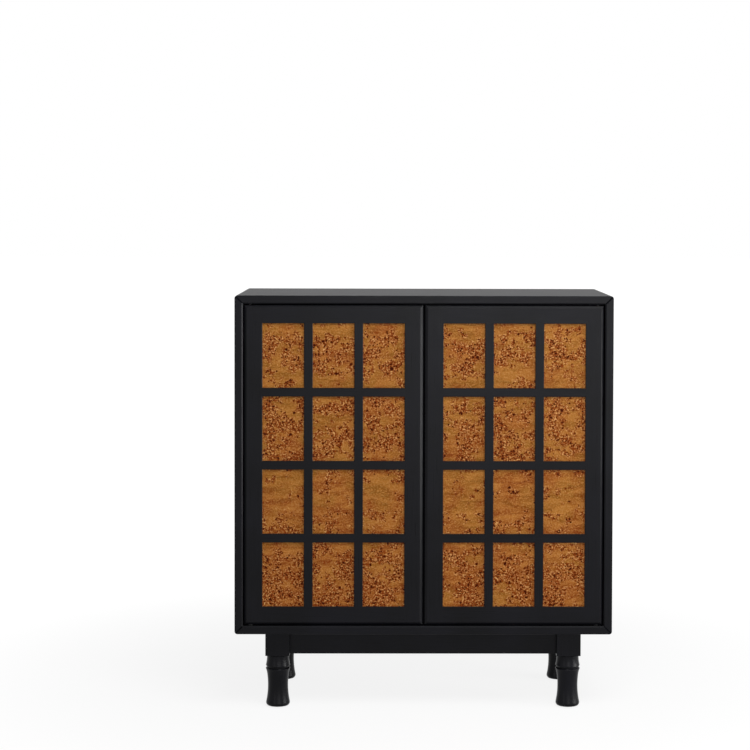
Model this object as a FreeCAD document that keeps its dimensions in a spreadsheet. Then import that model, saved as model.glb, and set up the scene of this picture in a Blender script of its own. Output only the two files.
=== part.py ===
import FreeCAD, Part
import math
import os

import Sketcher

# Side cabinet: a mitred case with two grille doors over burl veneer, on a base with turned legs.
# Millimetres, +Z up, front towards -Y, origin on the floor under the middle of the case.

SIZES = [
    ("case_width", 900, "outside width of the case"),
    ("case_depth", 400, "outside depth of the case"),
    ("case_height", 808, "outside height of the case"),
    ("base_height", 187, "floor to the underside of the case"),
    ("board_thickness", 20, "case boards"),
    ("corner_radius", 7, "rounded outer corners of the case"),
    ("outer_arris", 2.5, "rounding of the outer front edge of the case"),
    ("inner_arris", 3, "bevel of the inner front edge of the case"),
    ("mitre_vee", 1.8, "bevel of each board along the front of the mitre"),
    ("spline_thickness", 4, "loose tongue in the mitres"),
    ("spline_width", 14, "loose tongue, across the mitre"),
    ("spline_inset", 8, "tongue's middle from the inner faces of the boards"),
    ("spline_stop", 40, "tongue ends short of the front and back"),
    ("glue_gap", 0.05, "room for glue round tongues, tenons and panels"),
    ("back_thickness", 6, "back panel"),
    ("rebate_width", 10, "rebate for the back panel, into the board"),
    ("rebate_depth", 8, "rebate for the back panel, from the back edge"),
    ("divider_thickness", 18, "centre divider"),
    ("divider_housing", 6, "divider let into the top and bottom boards"),
    ("divider_setback", 4, "divider behind the doors"),
    ("shelf_thickness", 18, "shelves"),
    ("shelf_clearance", 1, "gap at the ends and back of a shelf"),
    ("shelf_setback", 24, "shelf front behind the doors"),
    ("shelf_arris", 1.5, "bevel of the shelf front edges"),
    ("lower_shelf", 238, "underside of the lower shelf above the bottom board"),
    ("upper_shelf", 494, "underside of the upper shelf above the bottom board"),
    ("peg_radius", 2.5, "shelf pin"),
    ("peg_reach", 9, "shelf pin under the shelf"),
    ("peg_bury", 7, "shelf pin in its hole"),
    ("peg_hole", 8, "depth of the shelf pin holes"),
    ("peg_collar", 4, "radius of the shelf pin's collar"),
    ("peg_collar_thickness", 0.8, "shelf pin's collar"),
    ("peg_setback", 37, "shelf pin from the front and back edges of the shelf"),
    ("peg_pitch", 32, "spacing of the shelf pin holes"),
    ("door_gap", 3, "gap round the doors"),
    ("meeting_gap", 6, "gap between the doors"),
    ("door_recess", 2, "doors behind the front of the case"),
    ("door_thickness", 22, "door frame"),
    ("stile_width", 43, "upright members of the door frame"),
    ("rail_width", 43, "level members of the door frame"),
    ("bevel_width", 6, "bevel round the door, on its face"),
    ("bevel_depth", 4, "bevel round the door, on its edge"),
    ("bar_width", 20.5, "grille bars"),
    ("bar_thickness", 5, "grille bars"),
    ("window_arris", 0.8, "bevel round each window"),
    ("panel_thickness", 9, "burl panel"),
    ("groove_depth", 9, "panel groove in the frame"),
    ("tenon_length", 20, "rail tenons"),
    ("tenon_margin", 8, "tenon from the outer edge of the rail"),
    ("tenon_web", 2, "wood between tenon and panel groove"),
    ("pivot_inset", 14, "pivot from the hinge edge of the door"),
    ("pivot_depth", 11, "pivot behind the door's face"),
    ("pivot_radius", 3, "pivot pin"),
    ("pivot_clearance", 0.05, "running fit of the pin in its bush"),
    ("pivot_engagement", 10, "pin in the door"),
    ("bush_radius", 4.5, "bush sleeve"),
    ("bush_length", 14, "bush"),
    ("flange_radius", 6, "bush flange and thrust washer"),
    ("flange_thickness", 1.5, "bush flange"),
    ("washer_clearance", 0.2, "thrust washer under the bush"),
    ("plate_half_width", 8, "pivot plate, half its width"),
    ("plate_thickness", 2.5, "pivot plate"),
    ("plate_screw_first", 17, "first screw from the pivot"),
    ("plate_screw_second", 33, "second screw from the pivot"),
    ("latch_inset", 21.5, "latch from the meeting edge of the door"),
    ("latch_drop", 12, "latch axis below the top board"),
    ("latch_half_width", 9, "latch housing"),
    ("latch_length", 60, "latch housing"),
    ("latch_wing", 16, "fixing wing of the latch housing"),
    ("latch_wing_thickness", 3, "fixing wing of the latch housing"),
    ("latch_screw_setback", 14, "latch screws from the ends of the housing"),
    ("latch_bore_depth", 48, "bore of the latch housing"),
    ("latch_gap", 0.3, "magnet to strike plate"),
    ("plunger_radius", 4.5, "latch plunger"),
    ("plunger_clearance", 0.1, "running fit of the plunger"),
    ("plunger_reach", 6, "plunger out of the housing"),
    ("plunger_bury", 24, "plunger in the housing"),
    ("magnet_radius", 4, "magnet on the plunger"),
    ("magnet_length", 3, "magnet on the plunger"),
    ("strike_radius", 8, "strike plate"),
    ("strike_thickness", 1.5, "strike plate"),
    ("spring_radius", 3.2, "latch spring, to the middle of the wire"),
    ("spring_wire", 0.8, "latch spring wire, diameter"),
    ("leg_inset_side", 71, "leg block from the side of the case"),
    ("leg_inset_front", 36, "leg block from the front and back of the case"),
    ("block_width", 58, "square block of the leg"),
    ("block_height", 60, "square block of the leg"),
    ("block_arris", 1.5, "rounding of the block's corners"),
    ("collar_top_radius", 26.4, "turned collar under the block"),
    ("collar_radius", 29.2, "turned collar at the node"),
    ("quirk_radius", 24.4, "narrow neck between collar and block"),
    ("quirk_height", 2.6, "narrow neck between collar and block"),
    ("collar_bow", 0.8, "hollow of the collar"),
    ("node_height", 96, "groove of the node above the floor"),
    ("groove_radius", 25.4, "groove of the node"),
    ("groove_half_width", 1.3, "groove of the node"),
    ("node_round", 2.8, "rounded lip on each side of the groove"),
    ("ring_radius", 29.4, "turned foot at the node"),
    ("ring_bow", 0.5, "hollow of the flare under the node"),
    ("shank_radius", 25.9, "turned foot where the flare begins"),
    ("shank_height", 78, "start of the flare above the floor"),
    ("waist_radius", 24.2, "narrowest part of the foot"),
    ("waist_height", 54, "narrowest part of the foot above the floor"),
    ("foot_radius", 28.5, "widest part of the foot"),
    ("foot_height", 11, "widest part of the foot above the floor"),
    ("sole_radius", 25.5, "flat underside of the foot"),
    ("apron_setback", 15, "apron behind the face of the block"),
    ("apron_thickness", 20, "aprons"),
    ("apron_height", 57.5, "aprons"),
    ("apron_tenon_length", 26, "apron tenons"),
    ("apron_tenon_thickness", 10, "apron tenons"),
    ("apron_tenon_margin", 9, "tenon from the edges of the apron"),
    ("cleat_width", 24, "cleats that hold the base to the case"),
    ("glide_radius", 14, "foot glide"),
    ("glide_thickness", 3, "foot glide"),
    ("nail_radius", 1.5, "nail of the foot glide"),
    ("nail_length", 16, "nail of the foot glide"),
    ("screw_head_radius", 3.6, "countersunk screw head"),
    ("screw_head_height", 2, "countersunk screw head"),
    ("screw_radius", 1.7, "screw shank"),
    ("screw_clearance", 0.05, "screw in its hole"),
    ("back_screw_length", 20, "screws of the back panel"),
    ("back_screw_margin", 60, "back screws from the corners"),
    ("cleat_screw_length", 38, "screws of the cleats"),
    ("cleat_screw_margin", 60, "cleat screws from the legs"),
    ("pivot_screw_length", 14, "screws of the pivot plates"),
    ("latch_screw_length", 14, "screws of the latch housings"),
    ("strike_screw_length", 13, "screws of the strike plates"),
]
WINDOW_COLUMNS = 3
WINDOW_ROWS = 4
PEG_HOLES_EACH_WAY = 2
SPRING_TURNS = 7
COS_45 = math.sqrt(0.5)
LEFT, RIGHT = -1, 1
SIDE_NAMES = {LEFT: "left", RIGHT: "right"}
UP = FreeCAD.Vector(0, 0, 1)
DOWN = FreeCAD.Vector(0, 0, -1)
BACKWARD = FreeCAD.Vector(0, 1, 0)
FORWARD = FreeCAD.Vector(0, -1, 0)
SIDEWAYS = FreeCAD.Vector(1, 0, 0)
PLANE_NORMALS = {"XY_Plane": 1, "XZ_Plane": -1, "YZ_Plane": 1}


class Size:
    """A length as a number and as the sheet formula that gives it."""

    def __init__(self, number, text):
        self.number = number
        self.text = text

    def __add__(self, other):
        other = as_size(other)
        return Size(self.number + other.number, f"({self.text} + {other.text})")

    def __radd__(self, other):
        return as_size(other) + self

    def __sub__(self, other):
        other = as_size(other)
        return Size(self.number - other.number, f"({self.text} - {other.text})")

    def __rsub__(self, other):
        return as_size(other) - self

    def __mul__(self, factor):
        return Size(self.number * factor, f"({self.text} * ({factor}))")

    __rmul__ = __mul__

    def __truediv__(self, divisor):
        return Size(self.number / divisor, f"({self.text} / {divisor})")

    def __neg__(self):
        return Size(-self.number, f"(-{self.text})")


def as_size(value):
    return value if isinstance(value, Size) else Size(float(value), f"({value})")


doc = FreeCAD.newDocument("SideCabinet")
sheet = doc.addObject("Spreadsheet::Sheet", "Sizes")


class Sheet:
    """The sheet's sizes by name."""


size = Sheet()
for row, (alias, number, meaning) in enumerate(SIZES, start=1):
    sheet.set(f"A{row}", alias)
    sheet.set(f"B{row}", str(number))
    sheet.setAlias(f"B{row}", alias)
    sheet.set(f"C{row}", meaning)
    setattr(size, alias, Size(float(number), f"Sizes.{alias}"))
doc.recompute()

parts = []


def keep(feature):
    """Counts the feature as a finished sub-part."""
    parts.append(feature)
    return feature


def bind(thing, formulas):
    """Ties properties of an object to sheet formulas."""
    for path, value in formulas.items():
        thing.setExpression(path, as_size(value).text)


def put(thing, x, y, z):
    bind(thing, {"Placement.Base.x": x, "Placement.Base.y": y, "Placement.Base.z": z})


def box(label, across, deep, tall):
    """A box between two values along each axis."""
    solid = doc.addObject("Part::Box", label)
    lengths = {}
    for name, (low, high) in zip(("Length", "Width", "Height"), (across, deep, tall)):
        lengths[name] = as_size(high) - low
    bind(solid, lengths)
    put(solid, across[0], deep[0], tall[0])
    return solid


def rod(label, start, direction, radius, length):
    """A cylinder from its start point along a direction."""
    solid = doc.addObject("Part::Cylinder", label)
    solid.Placement.Rotation = FreeCAD.Rotation(UP, direction)
    bind(solid, {"Radius": radius, "Height": length})
    put(solid, *start)
    return solid


def taper(label, start, direction, radius, end_radius, length):
    """A cone from its start point along a direction."""
    solid = doc.addObject("Part::Cone", label)
    solid.Placement.Rotation = FreeCAD.Rotation(UP, direction)
    bind(solid, {"Radius1": radius, "Radius2": end_radius, "Height": length})
    put(solid, *start)
    return solid


def group(label, solids):
    """Separate solids as one object."""
    compound = doc.addObject("Part::Compound", label)
    compound.Links = solids
    return compound


def join(label, solids):
    fused = doc.addObject("Part::MultiFuse", label)
    fused.Shapes = solids
    fused.Refine = True
    return fused


def cut(label, base, tools):
    """The base without the tools."""
    rest = doc.addObject("Part::Cut", label)
    rest.Base = base
    rest.Tool = tools[0] if len(tools) == 1 else group(f"{label}_tools", tools)
    return rest


def common(label, base, tool):
    shared = doc.addObject("Part::Common", label)
    shared.Base = base
    shared.Tool = tool
    return shared


class Bow:
    """A point that the edge between its two neighbours bends through."""

    def __init__(self, across, up):
        self.across = as_size(across)
        self.up = as_size(up)


def hold(sketch, edge, end, across, up):
    """Fixes a sketch point by two distances from the sheet."""
    for kind, value in (("DistanceX", as_size(across)), ("DistanceY", as_size(up))):
        index = sketch.addConstraint(Sketcher.Constraint(kind, -1, 1, edge, end, value.number))
        name = f"{kind}_{edge}_{end}"
        sketch.renameConstraint(index, name)
        sketch.setExpression(f"Constraints.{name}", value.text)


def flat(across, up):
    return FreeCAD.Vector(as_size(across).number, as_size(up).number, 0)


def bend(start, through, stop):
    """The anticlockwise arc on three points, and whether it runs from start to stop."""
    circle = Part.Arc(start, through, stop).toShape().Curve
    forward = (through - start).cross(stop - through).z > 0
    angles = []
    for point in (start, stop) if forward else (stop, start):
        spoke = point - circle.Center
        angles.append(math.atan2(spoke.y, spoke.x))
    return Part.ArcOfCircle(Part.Circle(circle.Center, UP, circle.Radius), *angles), forward


def outline(body, name, plane, path, offset=None):
    """A closed sketch through the path's points, with arcs where the path has a Bow."""
    sketch = body.newObject("Sketcher::SketchObject", name)
    support = [item for item in body.Origin.OriginFeatures if item.Role == plane][0]
    sketch.AttachmentSupport = (support, [""])
    sketch.MapMode = "FlatFace"
    if offset is not None:
        bind(sketch, {"AttachmentOffset.Base.z": offset * PLANE_NORMALS[plane]})
    corners = []
    bows = {}
    for step in path:
        if isinstance(step, Bow):
            bows[len(corners) - 1] = step
        else:
            corners.append(step)
    ends = []
    for index, corner in enumerate(corners):
        start, stop = flat(*corner), flat(*corners[(index + 1) % len(corners)])
        forward = True
        edge = None if index in bows else Part.LineSegment(start, stop)
        if edge is None:
            edge, forward = bend(start, flat(bows[index].across, bows[index].up), stop)
        sketch.addGeometry(edge)
        ends.append((1, 2) if forward else (2, 1))
    for index, corner in enumerate(corners):
        following = (index + 1) % len(corners)
        sketch.addConstraint(
            Sketcher.Constraint("Coincident", index, ends[index][1], following, ends[following][0])
        )
        hold(sketch, index, ends[index][0], *corner)
    for index, bow in bows.items():
        point = sketch.addGeometry(Part.Point(flat(bow.across, bow.up)), True)
        sketch.addConstraint(Sketcher.Constraint("PointOnObject", point, 1, index))
        hold(sketch, point, 1, bow.across, bow.up)
    return sketch


def prism(label, plane, path, low, high):
    """A body with the path as its section, between two values along the plane's normal."""
    body = doc.addObject("PartDesign::Body", label)
    sketch = outline(body, f"{label}_section", plane, path, (low + high) / 2)
    pad = body.newObject("PartDesign::Pad", f"{label}_pad")
    pad.Profile = sketch
    pad.SideType = "Symmetric"
    bind(pad, {"Length": high - low})
    return body


def ease(body, kind, amount, wanted):
    """Adds a fillet or chamfer on the edges whose middle point is wanted."""
    doc.recompute()
    base = body.Tip
    names = []
    for index, edge in enumerate(base.Shape.Edges, start=1):
        if wanted(edge.valueAt((edge.FirstParameter + edge.LastParameter) / 2)):
            names.append(f"Edge{index}")
    feature = body.newObject(f"PartDesign::{kind}", f"{body.Name}_{kind}")
    feature.Base = (base, names)
    bind(feature, {"Radius" if kind == "Fillet" else "Size": amount})


def near(value, target):
    return abs(value - as_size(target).number) < 1e-4


def spread(low, high, count):
    """Evenly spaced values from low to high."""
    return [low + (high - low) * (step / (count - 1)) for step in range(count)]


def screw(label, start, direction, length, clearance=None):
    """A countersunk screw, or with a clearance the hole for one."""
    room = as_size(0) if clearance is None else clearance
    head = taper(
        f"{label}_head", start, direction, size.screw_head_radius + room, size.screw_radius + room,
        size.screw_head_height,
    )
    shank = rod(f"{label}_shank", start, direction, size.screw_radius + room, length + room)
    return join(label, [head, shank])


def screws(label, places, length):
    """Screws at (start, direction) places as one sub-part, and the holes that they need."""
    solids = []
    holes = []
    for number, (start, direction) in enumerate(places):
        solids.append(screw(f"{label}_{number}", start, direction, length))
        holes.append(screw(f"{label}_hole_{number}", start, direction, length, size.screw_clearance))
    keep(group(label, solids))
    return holes


# Main planes and faces

half_width = size.case_width / 2
half_depth = size.case_depth / 2
half_height = size.case_height / 2
case_bottom = size.base_height
case_middle = size.base_height + half_height
case_top = size.base_height + size.case_height
inner_side = half_width - size.board_thickness
inner_bottom = case_bottom + size.board_thickness
inner_top = case_top - size.board_thickness
front = -half_depth
back_face = half_depth - size.rebate_depth
door_front = front + size.door_recess
door_back = door_front + size.door_thickness
door_low = inner_bottom + size.door_gap
door_high = inner_top - size.door_gap
hinge_edge = inner_side - size.door_gap
door_width = hinge_edge - size.meeting_gap / 2
divider_front = door_back + size.divider_setback
shelf_front = door_back + size.shelf_setback
shelf_back = back_face - size.shelf_clearance
divider_face = size.divider_thickness / 2


def splines():
    """Loose tongues across the four mitres, and the slots that they fill."""
    tongues = []
    slots = []
    across = inner_side + size.spline_inset
    for side in (LEFT, RIGHT):
        for level in (-1, 1):
            turn = side * level
            up = case_middle + (half_height - size.board_thickness + size.spline_inset) * level
            for room, store in ((as_size(0), tongues), (size.glue_gap, slots)):
                wide = size.spline_width / 2 + room
                thick = size.spline_thickness / 2 + room
                name = f"{'slot' if room.number else 'tongue'}_{SIDE_NAMES[side]}_{level}"
                ends = half_depth - size.spline_stop + room
                solid = box(name, (-wide, wide), (-ends, ends), (-thick, thick))
                solid.Placement.Rotation = FreeCAD.Rotation(BACKWARD, 45 * turn)
                put(
                    solid,
                    across * side - (wide + thick * turn) * COS_45,
                    -ends,
                    up + (wide * turn - thick) * COS_45,
                )
                store.append(solid)
    keep(group("mitre_splines", tongues))
    return slots


def case_outside():
    """The outside of the whole case, with its rounded corners and its rounded front edge."""
    radius = size.corner_radius
    bow = radius * (1 - COS_45)
    path = []
    for across, up in ((LEFT, -1), (RIGHT, -1), (RIGHT, 1), (LEFT, 1)):
        side, level = half_width * across, case_middle + half_height * up
        ends = [(side, level - radius * up), (side - radius * across, level)]
        if across != up:
            ends.reverse()
        path += [ends[0], Bow(side - bow * across, level - bow * up), ends[1]]
    body = prism("case_outside", "XZ_Plane", path, front, half_depth)
    ease(body, "Fillet", size.outer_arris, lambda point: near(point.y, front))
    return body


def case_board(label, half_length, half_span, place):
    """One mitred board; place turns (along the board, out from the case's middle) into X and Z."""
    inner = (half_length - size.board_thickness, half_span - size.board_thickness)
    path = [
        place(-inner[0], inner[1]),
        place(-half_length, half_span),
        place(half_length, half_span),
        place(inner[0], inner[1]),
    ]
    return prism(label, "XZ_Plane", path, front, half_depth)


def ease_board(body, along_of, out_of, half_length, half_span):
    """Bevels the mitre and the inner edge at the front of a board."""
    reach, depth = half_length.number, half_span.number

    def on_mitre(point):
        inward = reach - abs(along_of(point))
        return near(point.y, front) and abs(inward - (depth - out_of(point))) < 1e-4

    def on_inner_edge(point):
        return near(point.y, front) and near(depth - out_of(point), size.board_thickness)

    ease(body, "Chamfer", size.mitre_vee, on_mitre)
    ease(body, "Chamfer", size.inner_arris, on_inner_edge)


def level_board(label, level, outside):
    body = case_board(f"{label}_stick", half_width, half_height, lambda a, o: (a, case_middle + o * level))
    middle = case_middle.number
    ease_board(body, lambda p: p.x, lambda p: (p.z - middle) * level, half_width, half_height)
    return common(f"{label}_blank", body, outside)


def upright_board(label, side, outside):
    body = case_board(f"{label}_stick", half_height, half_width, lambda a, o: (o * side, case_middle + a))
    middle = case_middle.number
    ease_board(body, lambda p: p.z - middle, lambda p: p.x * side, half_height, half_width)
    return common(f"{label}_blank", body, outside)


def back_fixing():
    """The back panel with its screws, and the recess and holes that they need."""
    wide = inner_side + size.rebate_width
    low = inner_bottom - size.rebate_width
    high = inner_top + size.rebate_width
    recess = box("back_recess", (-wide, wide), (back_face, half_depth + size.rebate_depth), (low, high))
    gap = size.glue_gap
    head = back_face + size.back_thickness
    places = []
    row = inner_side - size.back_screw_margin
    for up in (inner_bottom - size.rebate_width / 2, inner_top + size.rebate_width / 2):
        for across in spread(-row, row, 4):
            places.append(((across, head, up), FORWARD))
    edge = inner_side + size.rebate_width / 2
    for up in spread(inner_bottom + size.back_screw_margin, inner_top - size.back_screw_margin, 3):
        for across in (-edge, as_size(0), edge):
            places.append(((across, head, up), FORWARD))
    holes = screws("back_screws", places, size.back_screw_length)
    blank = box("back_blank", (gap - wide, wide - gap), (back_face, head), (low + gap, high - gap))
    keep(cut("back_panel", blank, holes))
    return recess, holes


def shelf(side, level, height):
    """A shelf with eased front edges, resting on pins."""
    low = inner_bottom + height
    high = low + size.shelf_thickness
    arris = size.shelf_arris
    path = [
        (shelf_front + arris, low),
        (shelf_back, low),
        (shelf_back, high),
        (shelf_front + arris, high),
        (shelf_front, high - arris),
        (shelf_front, low + arris),
    ]
    inner = divider_face + size.shelf_clearance
    outer = inner_side - size.shelf_clearance
    ends = (inner, outer) if side == RIGHT else (-outer, -inner)
    keep(prism(f"shelf_{SIDE_NAMES[side]}_{level}", "YZ_Plane", path, *ends))


def shelf_pins():
    """Pins under every shelf, and the rows of holes in the side boards and the divider."""
    pins = []
    holes = {LEFT: [], RIGHT: [], "divider": []}
    rows = (shelf_front + size.peg_setback, shelf_back - size.peg_setback)
    for side in (LEFT, RIGHT):
        walls = ((inner_side * side, -side, side), (divider_face * side, side, "divider"))
        for face, inward, wall in walls:
            for height in (size.lower_shelf, size.upper_shelf):
                level = inner_bottom + height - size.peg_radius
                for row in rows:
                    name = f"{SIDE_NAMES[side]}_{len(pins)}"
                    toward = SIDEWAYS * inward
                    start = face - size.peg_bury * inward
                    stem = rod(
                        f"peg_{name}", (start, row, level), toward, size.peg_radius,
                        size.peg_bury + size.peg_reach,
                    )
                    collar = rod(
                        f"peg_collar_{name}", (face, row, level), toward, size.peg_collar,
                        size.peg_collar_thickness,
                    )
                    pins.append(join(f"peg_whole_{name}", [stem, collar]))
                    for step in range(-PEG_HOLES_EACH_WAY, PEG_HOLES_EACH_WAY + 1):
                        holes[wall].append(
                            rod(
                                f"peg_hole_{name}_{step}",
                                (face - size.peg_hole * inward, row, level + size.peg_pitch * step),
                                toward,
                                size.peg_radius + size.glue_gap,
                                size.peg_hole,
                            )
                        )
    keep(group("shelf_pins", pins))
    return holes


def divider(holes, back_holes):
    low = inner_bottom - size.divider_housing
    high = inner_top + size.divider_housing
    gap = size.glue_gap
    deep = (divider_front, back_face)
    blank = box("divider_blank", (-divider_face, divider_face), deep, (low, high))
    keep(cut("centre_divider", blank, holes + back_holes))
    return box("divider_slot", (-divider_face - gap, divider_face + gap), deep, (low, high))


def apron_along_x(label, face):
    """A front or back apron, tenoned into the leg blocks; face is 1 at the back and -1 at the front."""
    outer = (half_depth - size.leg_inset_front - size.apron_setback) * face
    inner = outer - size.apron_thickness * face
    deep = (outer, inner) if face < 0 else (inner, outer)
    reach = half_width - size.leg_inset_side - size.block_width
    return apron(label, deep, reach, "x")


def apron_along_y(label, side):
    """A side apron, tenoned into the leg blocks."""
    outer = (half_width - size.leg_inset_side - size.apron_setback) * side
    inner = outer - size.apron_thickness * side
    across = (outer, inner) if side < 0 else (inner, outer)
    reach = half_depth - size.leg_inset_front - size.block_width
    return apron(label, across, reach, "y")


def apron(label, thick, reach, axis):
    """An apron board with its tenons, and the mortises for them, as a pair."""
    tall = (size.base_height - size.apron_height, size.base_height)
    core = (thick[0] + thick[1]) / 2
    gap = size.glue_gap
    half = size.apron_tenon_thickness / 2
    margin = size.apron_tenon_margin
    length = reach + size.apron_tenon_length
    sections = {
        "board": (thick, reach, tall),
        "tenons": ((core - half, core + half), length, (tall[0] + margin, tall[1] - margin)),
        "mortises": (
            (core - half - gap, core + half + gap),
            length + gap,
            (tall[0] + margin - gap, tall[1] - margin + gap),
        ),
    }
    solids = []
    for name, (section, half_length, height) in sections.items():
        ends = (-half_length, half_length)
        sides = (ends, section) if axis == "x" else (section, ends)
        solids.append(box(f"{label}_{name}", *sides, height))
    return join(label, solids[:2]), solids[2]


def leg(label, across, deep, mortises):
    """A leg with a square block above a turned foot that has a bamboo-like node."""
    body = doc.addObject("PartDesign::Body", f"{label}_turning")
    sole = size.glide_thickness
    shoulder = size.base_height - size.block_height
    collar_top = shoulder - size.quirk_height
    ring_top = size.node_height - size.groove_half_width
    collar_low = size.node_height + size.groove_half_width
    lip = size.node_round
    collar_middle = (size.collar_top_radius + size.collar_radius) / 2 - size.collar_bow
    path = [
        (as_size(0), sole),
        (size.sole_radius, sole),
        Bow(
            size.sole_radius + (size.foot_radius - size.sole_radius) * COS_45,
            sole + (size.foot_height - sole) * (1 - COS_45),
        ),
        (size.foot_radius, size.foot_height),
        Bow(size.waist_radius, size.waist_height),
        (size.shank_radius, size.shank_height),
        Bow(
            (size.shank_radius + size.ring_radius) / 2 - size.ring_bow,
            (size.shank_height + ring_top - lip) / 2,
        ),
        (size.ring_radius, ring_top - lip),
        Bow(
            size.ring_radius - (size.ring_radius - size.groove_radius) * (1 - COS_45),
            ring_top - lip * (1 - COS_45),
        ),
        (size.groove_radius, ring_top),
        (size.groove_radius, collar_low),
        Bow(
            size.collar_radius - (size.collar_radius - size.groove_radius) * (1 - COS_45),
            collar_low + lip * (1 - COS_45),
        ),
        (size.collar_radius, collar_low + lip),
        Bow(collar_middle, (collar_low + lip + collar_top) / 2),
        (size.collar_top_radius, collar_top),
        (size.quirk_radius, collar_top),
        (size.quirk_radius, shoulder),
        (as_size(0), shoulder),
    ]
    profile = outline(body, f"{label}_profile", "XZ_Plane", path)
    turning = body.newObject("PartDesign::Revolution", f"{label}_foot")
    turning.Profile = profile
    turning.ReferenceAxis = (profile, ["V_Axis"])
    turning.Angle = 360
    half = size.block_width / 2
    square = [(-half, -half), (half, -half), (half, half), (-half, half)]
    sketch = outline(body, f"{label}_square", "XY_Plane", square, shoulder)
    block = body.newObject("PartDesign::Pad", f"{label}_block")
    block.Profile = sketch
    bind(block, {"Length": size.block_height})
    ease(body, "Fillet", size.block_arris, lambda p: near(abs(p.x), half) and near(abs(p.y), half))
    put(body, across, deep, 0)
    nail = rod(
        f"{label}_nail_hole", (across, deep, sole), UP, size.nail_radius + size.glue_gap,
        size.nail_length + size.glue_gap,
    )
    keep(cut(label, body, mortises + [nail]))


def base():
    """Legs, aprons, cleats and glides; gives the holes for the cleat screws."""
    aprons = {
        "front": apron_along_x("apron_front_blank", -1),
        "back": apron_along_x("apron_back_blank", 1),
        "left": apron_along_y("apron_left", LEFT),
        "right": apron_along_y("apron_right", RIGHT),
    }
    glides = []
    out = half_width - size.leg_inset_side - size.block_width / 2
    deep = half_depth - size.leg_inset_front - size.block_width / 2
    for end, facing in (("front", -1), ("back", 1)):
        for side in (LEFT, RIGHT):
            name = f"leg_{end}_{SIDE_NAMES[side]}"
            place = (out * side, deep * facing)
            leg(name, *place, [aprons[end][1], aprons[SIDE_NAMES[side]][1]])
            foot = rod(f"{name}_pad", (*place, 0), UP, size.glide_radius, size.glide_thickness)
            nail = rod(
                f"{name}_nail", (*place, 0), UP, size.nail_radius, size.glide_thickness + size.nail_length
            )
            glides.append(join(f"{name}_glide", [foot, nail]))
    keep(group("foot_glides", glides))
    holes = cleats()
    for end in ("front", "back"):
        keep(cut(f"apron_{end}", aprons[end][0], holes))
    for side in ("left", "right"):
        keep(aprons[side][0])
    return holes


def cleats():
    """Strips along the front and back aprons with screws into the apron and the case."""
    reach = half_width - size.leg_inset_side - size.block_width
    low = size.base_height - size.cleat_width
    blanks = {}
    places = []
    row = reach - size.cleat_screw_margin
    for name, facing in (("cleat_front", -1), ("cleat_back", 1)):
        outer = half_depth - size.leg_inset_front - size.apron_setback - size.apron_thickness
        inner = outer - size.cleat_width
        ends = (inner * facing, outer * facing)
        deep = ends if facing > 0 else ends[::-1]
        blanks[name] = box(f"{name}_blank", (-reach, reach), deep, (low, size.base_height))
        middle = (outer - size.cleat_width / 2) * facing
        for across in spread(-row, row, 3):
            places.append(((across, middle, low), UP))
        level = size.base_height - size.cleat_width / 2
        for across in (-row / 2, row / 2):
            places.append(((across, inner * facing, level), BACKWARD * facing))
    holes = screws("cleat_screws", places, size.cleat_screw_length)
    for name, blank in blanks.items():
        keep(cut(name, blank, holes))
    return holes


def pivot_place(side):
    return (hinge_edge - size.pivot_inset) * side, door_front + size.pivot_depth


def case_pivots():
    """Pivot plates, pins, washers and screws; gives the recesses and holes for the level boards."""
    plates, pins, washers, recesses, places = [], [], [], [], []
    half = size.plate_half_width
    for side in (LEFT, RIGHT):
        across, deep = pivot_place(side)
        far = across - size.plate_screw_second * side
        path = [
            (across, deep - half),
            Bow(across + half * side, deep),
            (across, deep + half),
            (far, deep + half),
            Bow(far - half * side, deep),
            (far, deep - half),
        ]
        bottom = (inner_bottom - size.plate_thickness, inner_bottom, UP, door_low + size.pivot_engagement)
        top = (inner_top, inner_top + size.plate_thickness, DOWN, door_high - size.pivot_engagement)
        for level, (low, high, inward, tip) in (("bottom", bottom), ("top", top)):
            name = f"pivot_{SIDE_NAMES[side]}_{level}"
            recesses.append(prism(f"{name}_plate", "XY_Plane", path, low, high))
            seat = low if inward is UP else high
            face = high if inward is UP else low
            length = tip - seat if inward is UP else seat - tip
            eye = size.pivot_radius + size.glue_gap
            hole = rod(f"{name}_eye", (across, deep, low), UP, eye, size.plate_thickness)
            plates.append((f"{name}_drilled", recesses[-1], hole))
            pins.append(rod(f"{name}_pin", (across, deep, seat), inward, size.pivot_radius, length))
            for along in (size.plate_screw_first, size.plate_screw_second):
                places.append(((across - along * side, deep, face), inward * -1))
        thick = size.door_gap - size.washer_clearance
        ring = rod(f"washer_{SIDE_NAMES[side]}", (across, deep, inner_bottom), UP, size.flange_radius, thick)
        bore = rod(
            f"washer_bore_{SIDE_NAMES[side]}", (across, deep, inner_bottom), UP,
            size.pivot_radius + size.plunger_clearance, thick,
        )
        washers.append(cut(f"washer_ring_{SIDE_NAMES[side]}", ring, [bore]))
    holes = screws("pivot_screws", places, size.pivot_screw_length)
    keep(group("pivot_plates", [cut(name, plate, [eye] + holes) for name, plate, eye in plates]))
    keep(group("pivot_pins", pins))
    keep(group("pivot_washers", washers))
    return recesses, holes


def latch_place(side):
    return (size.meeting_gap / 2 + size.latch_inset) * side, inner_top - size.latch_drop


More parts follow.
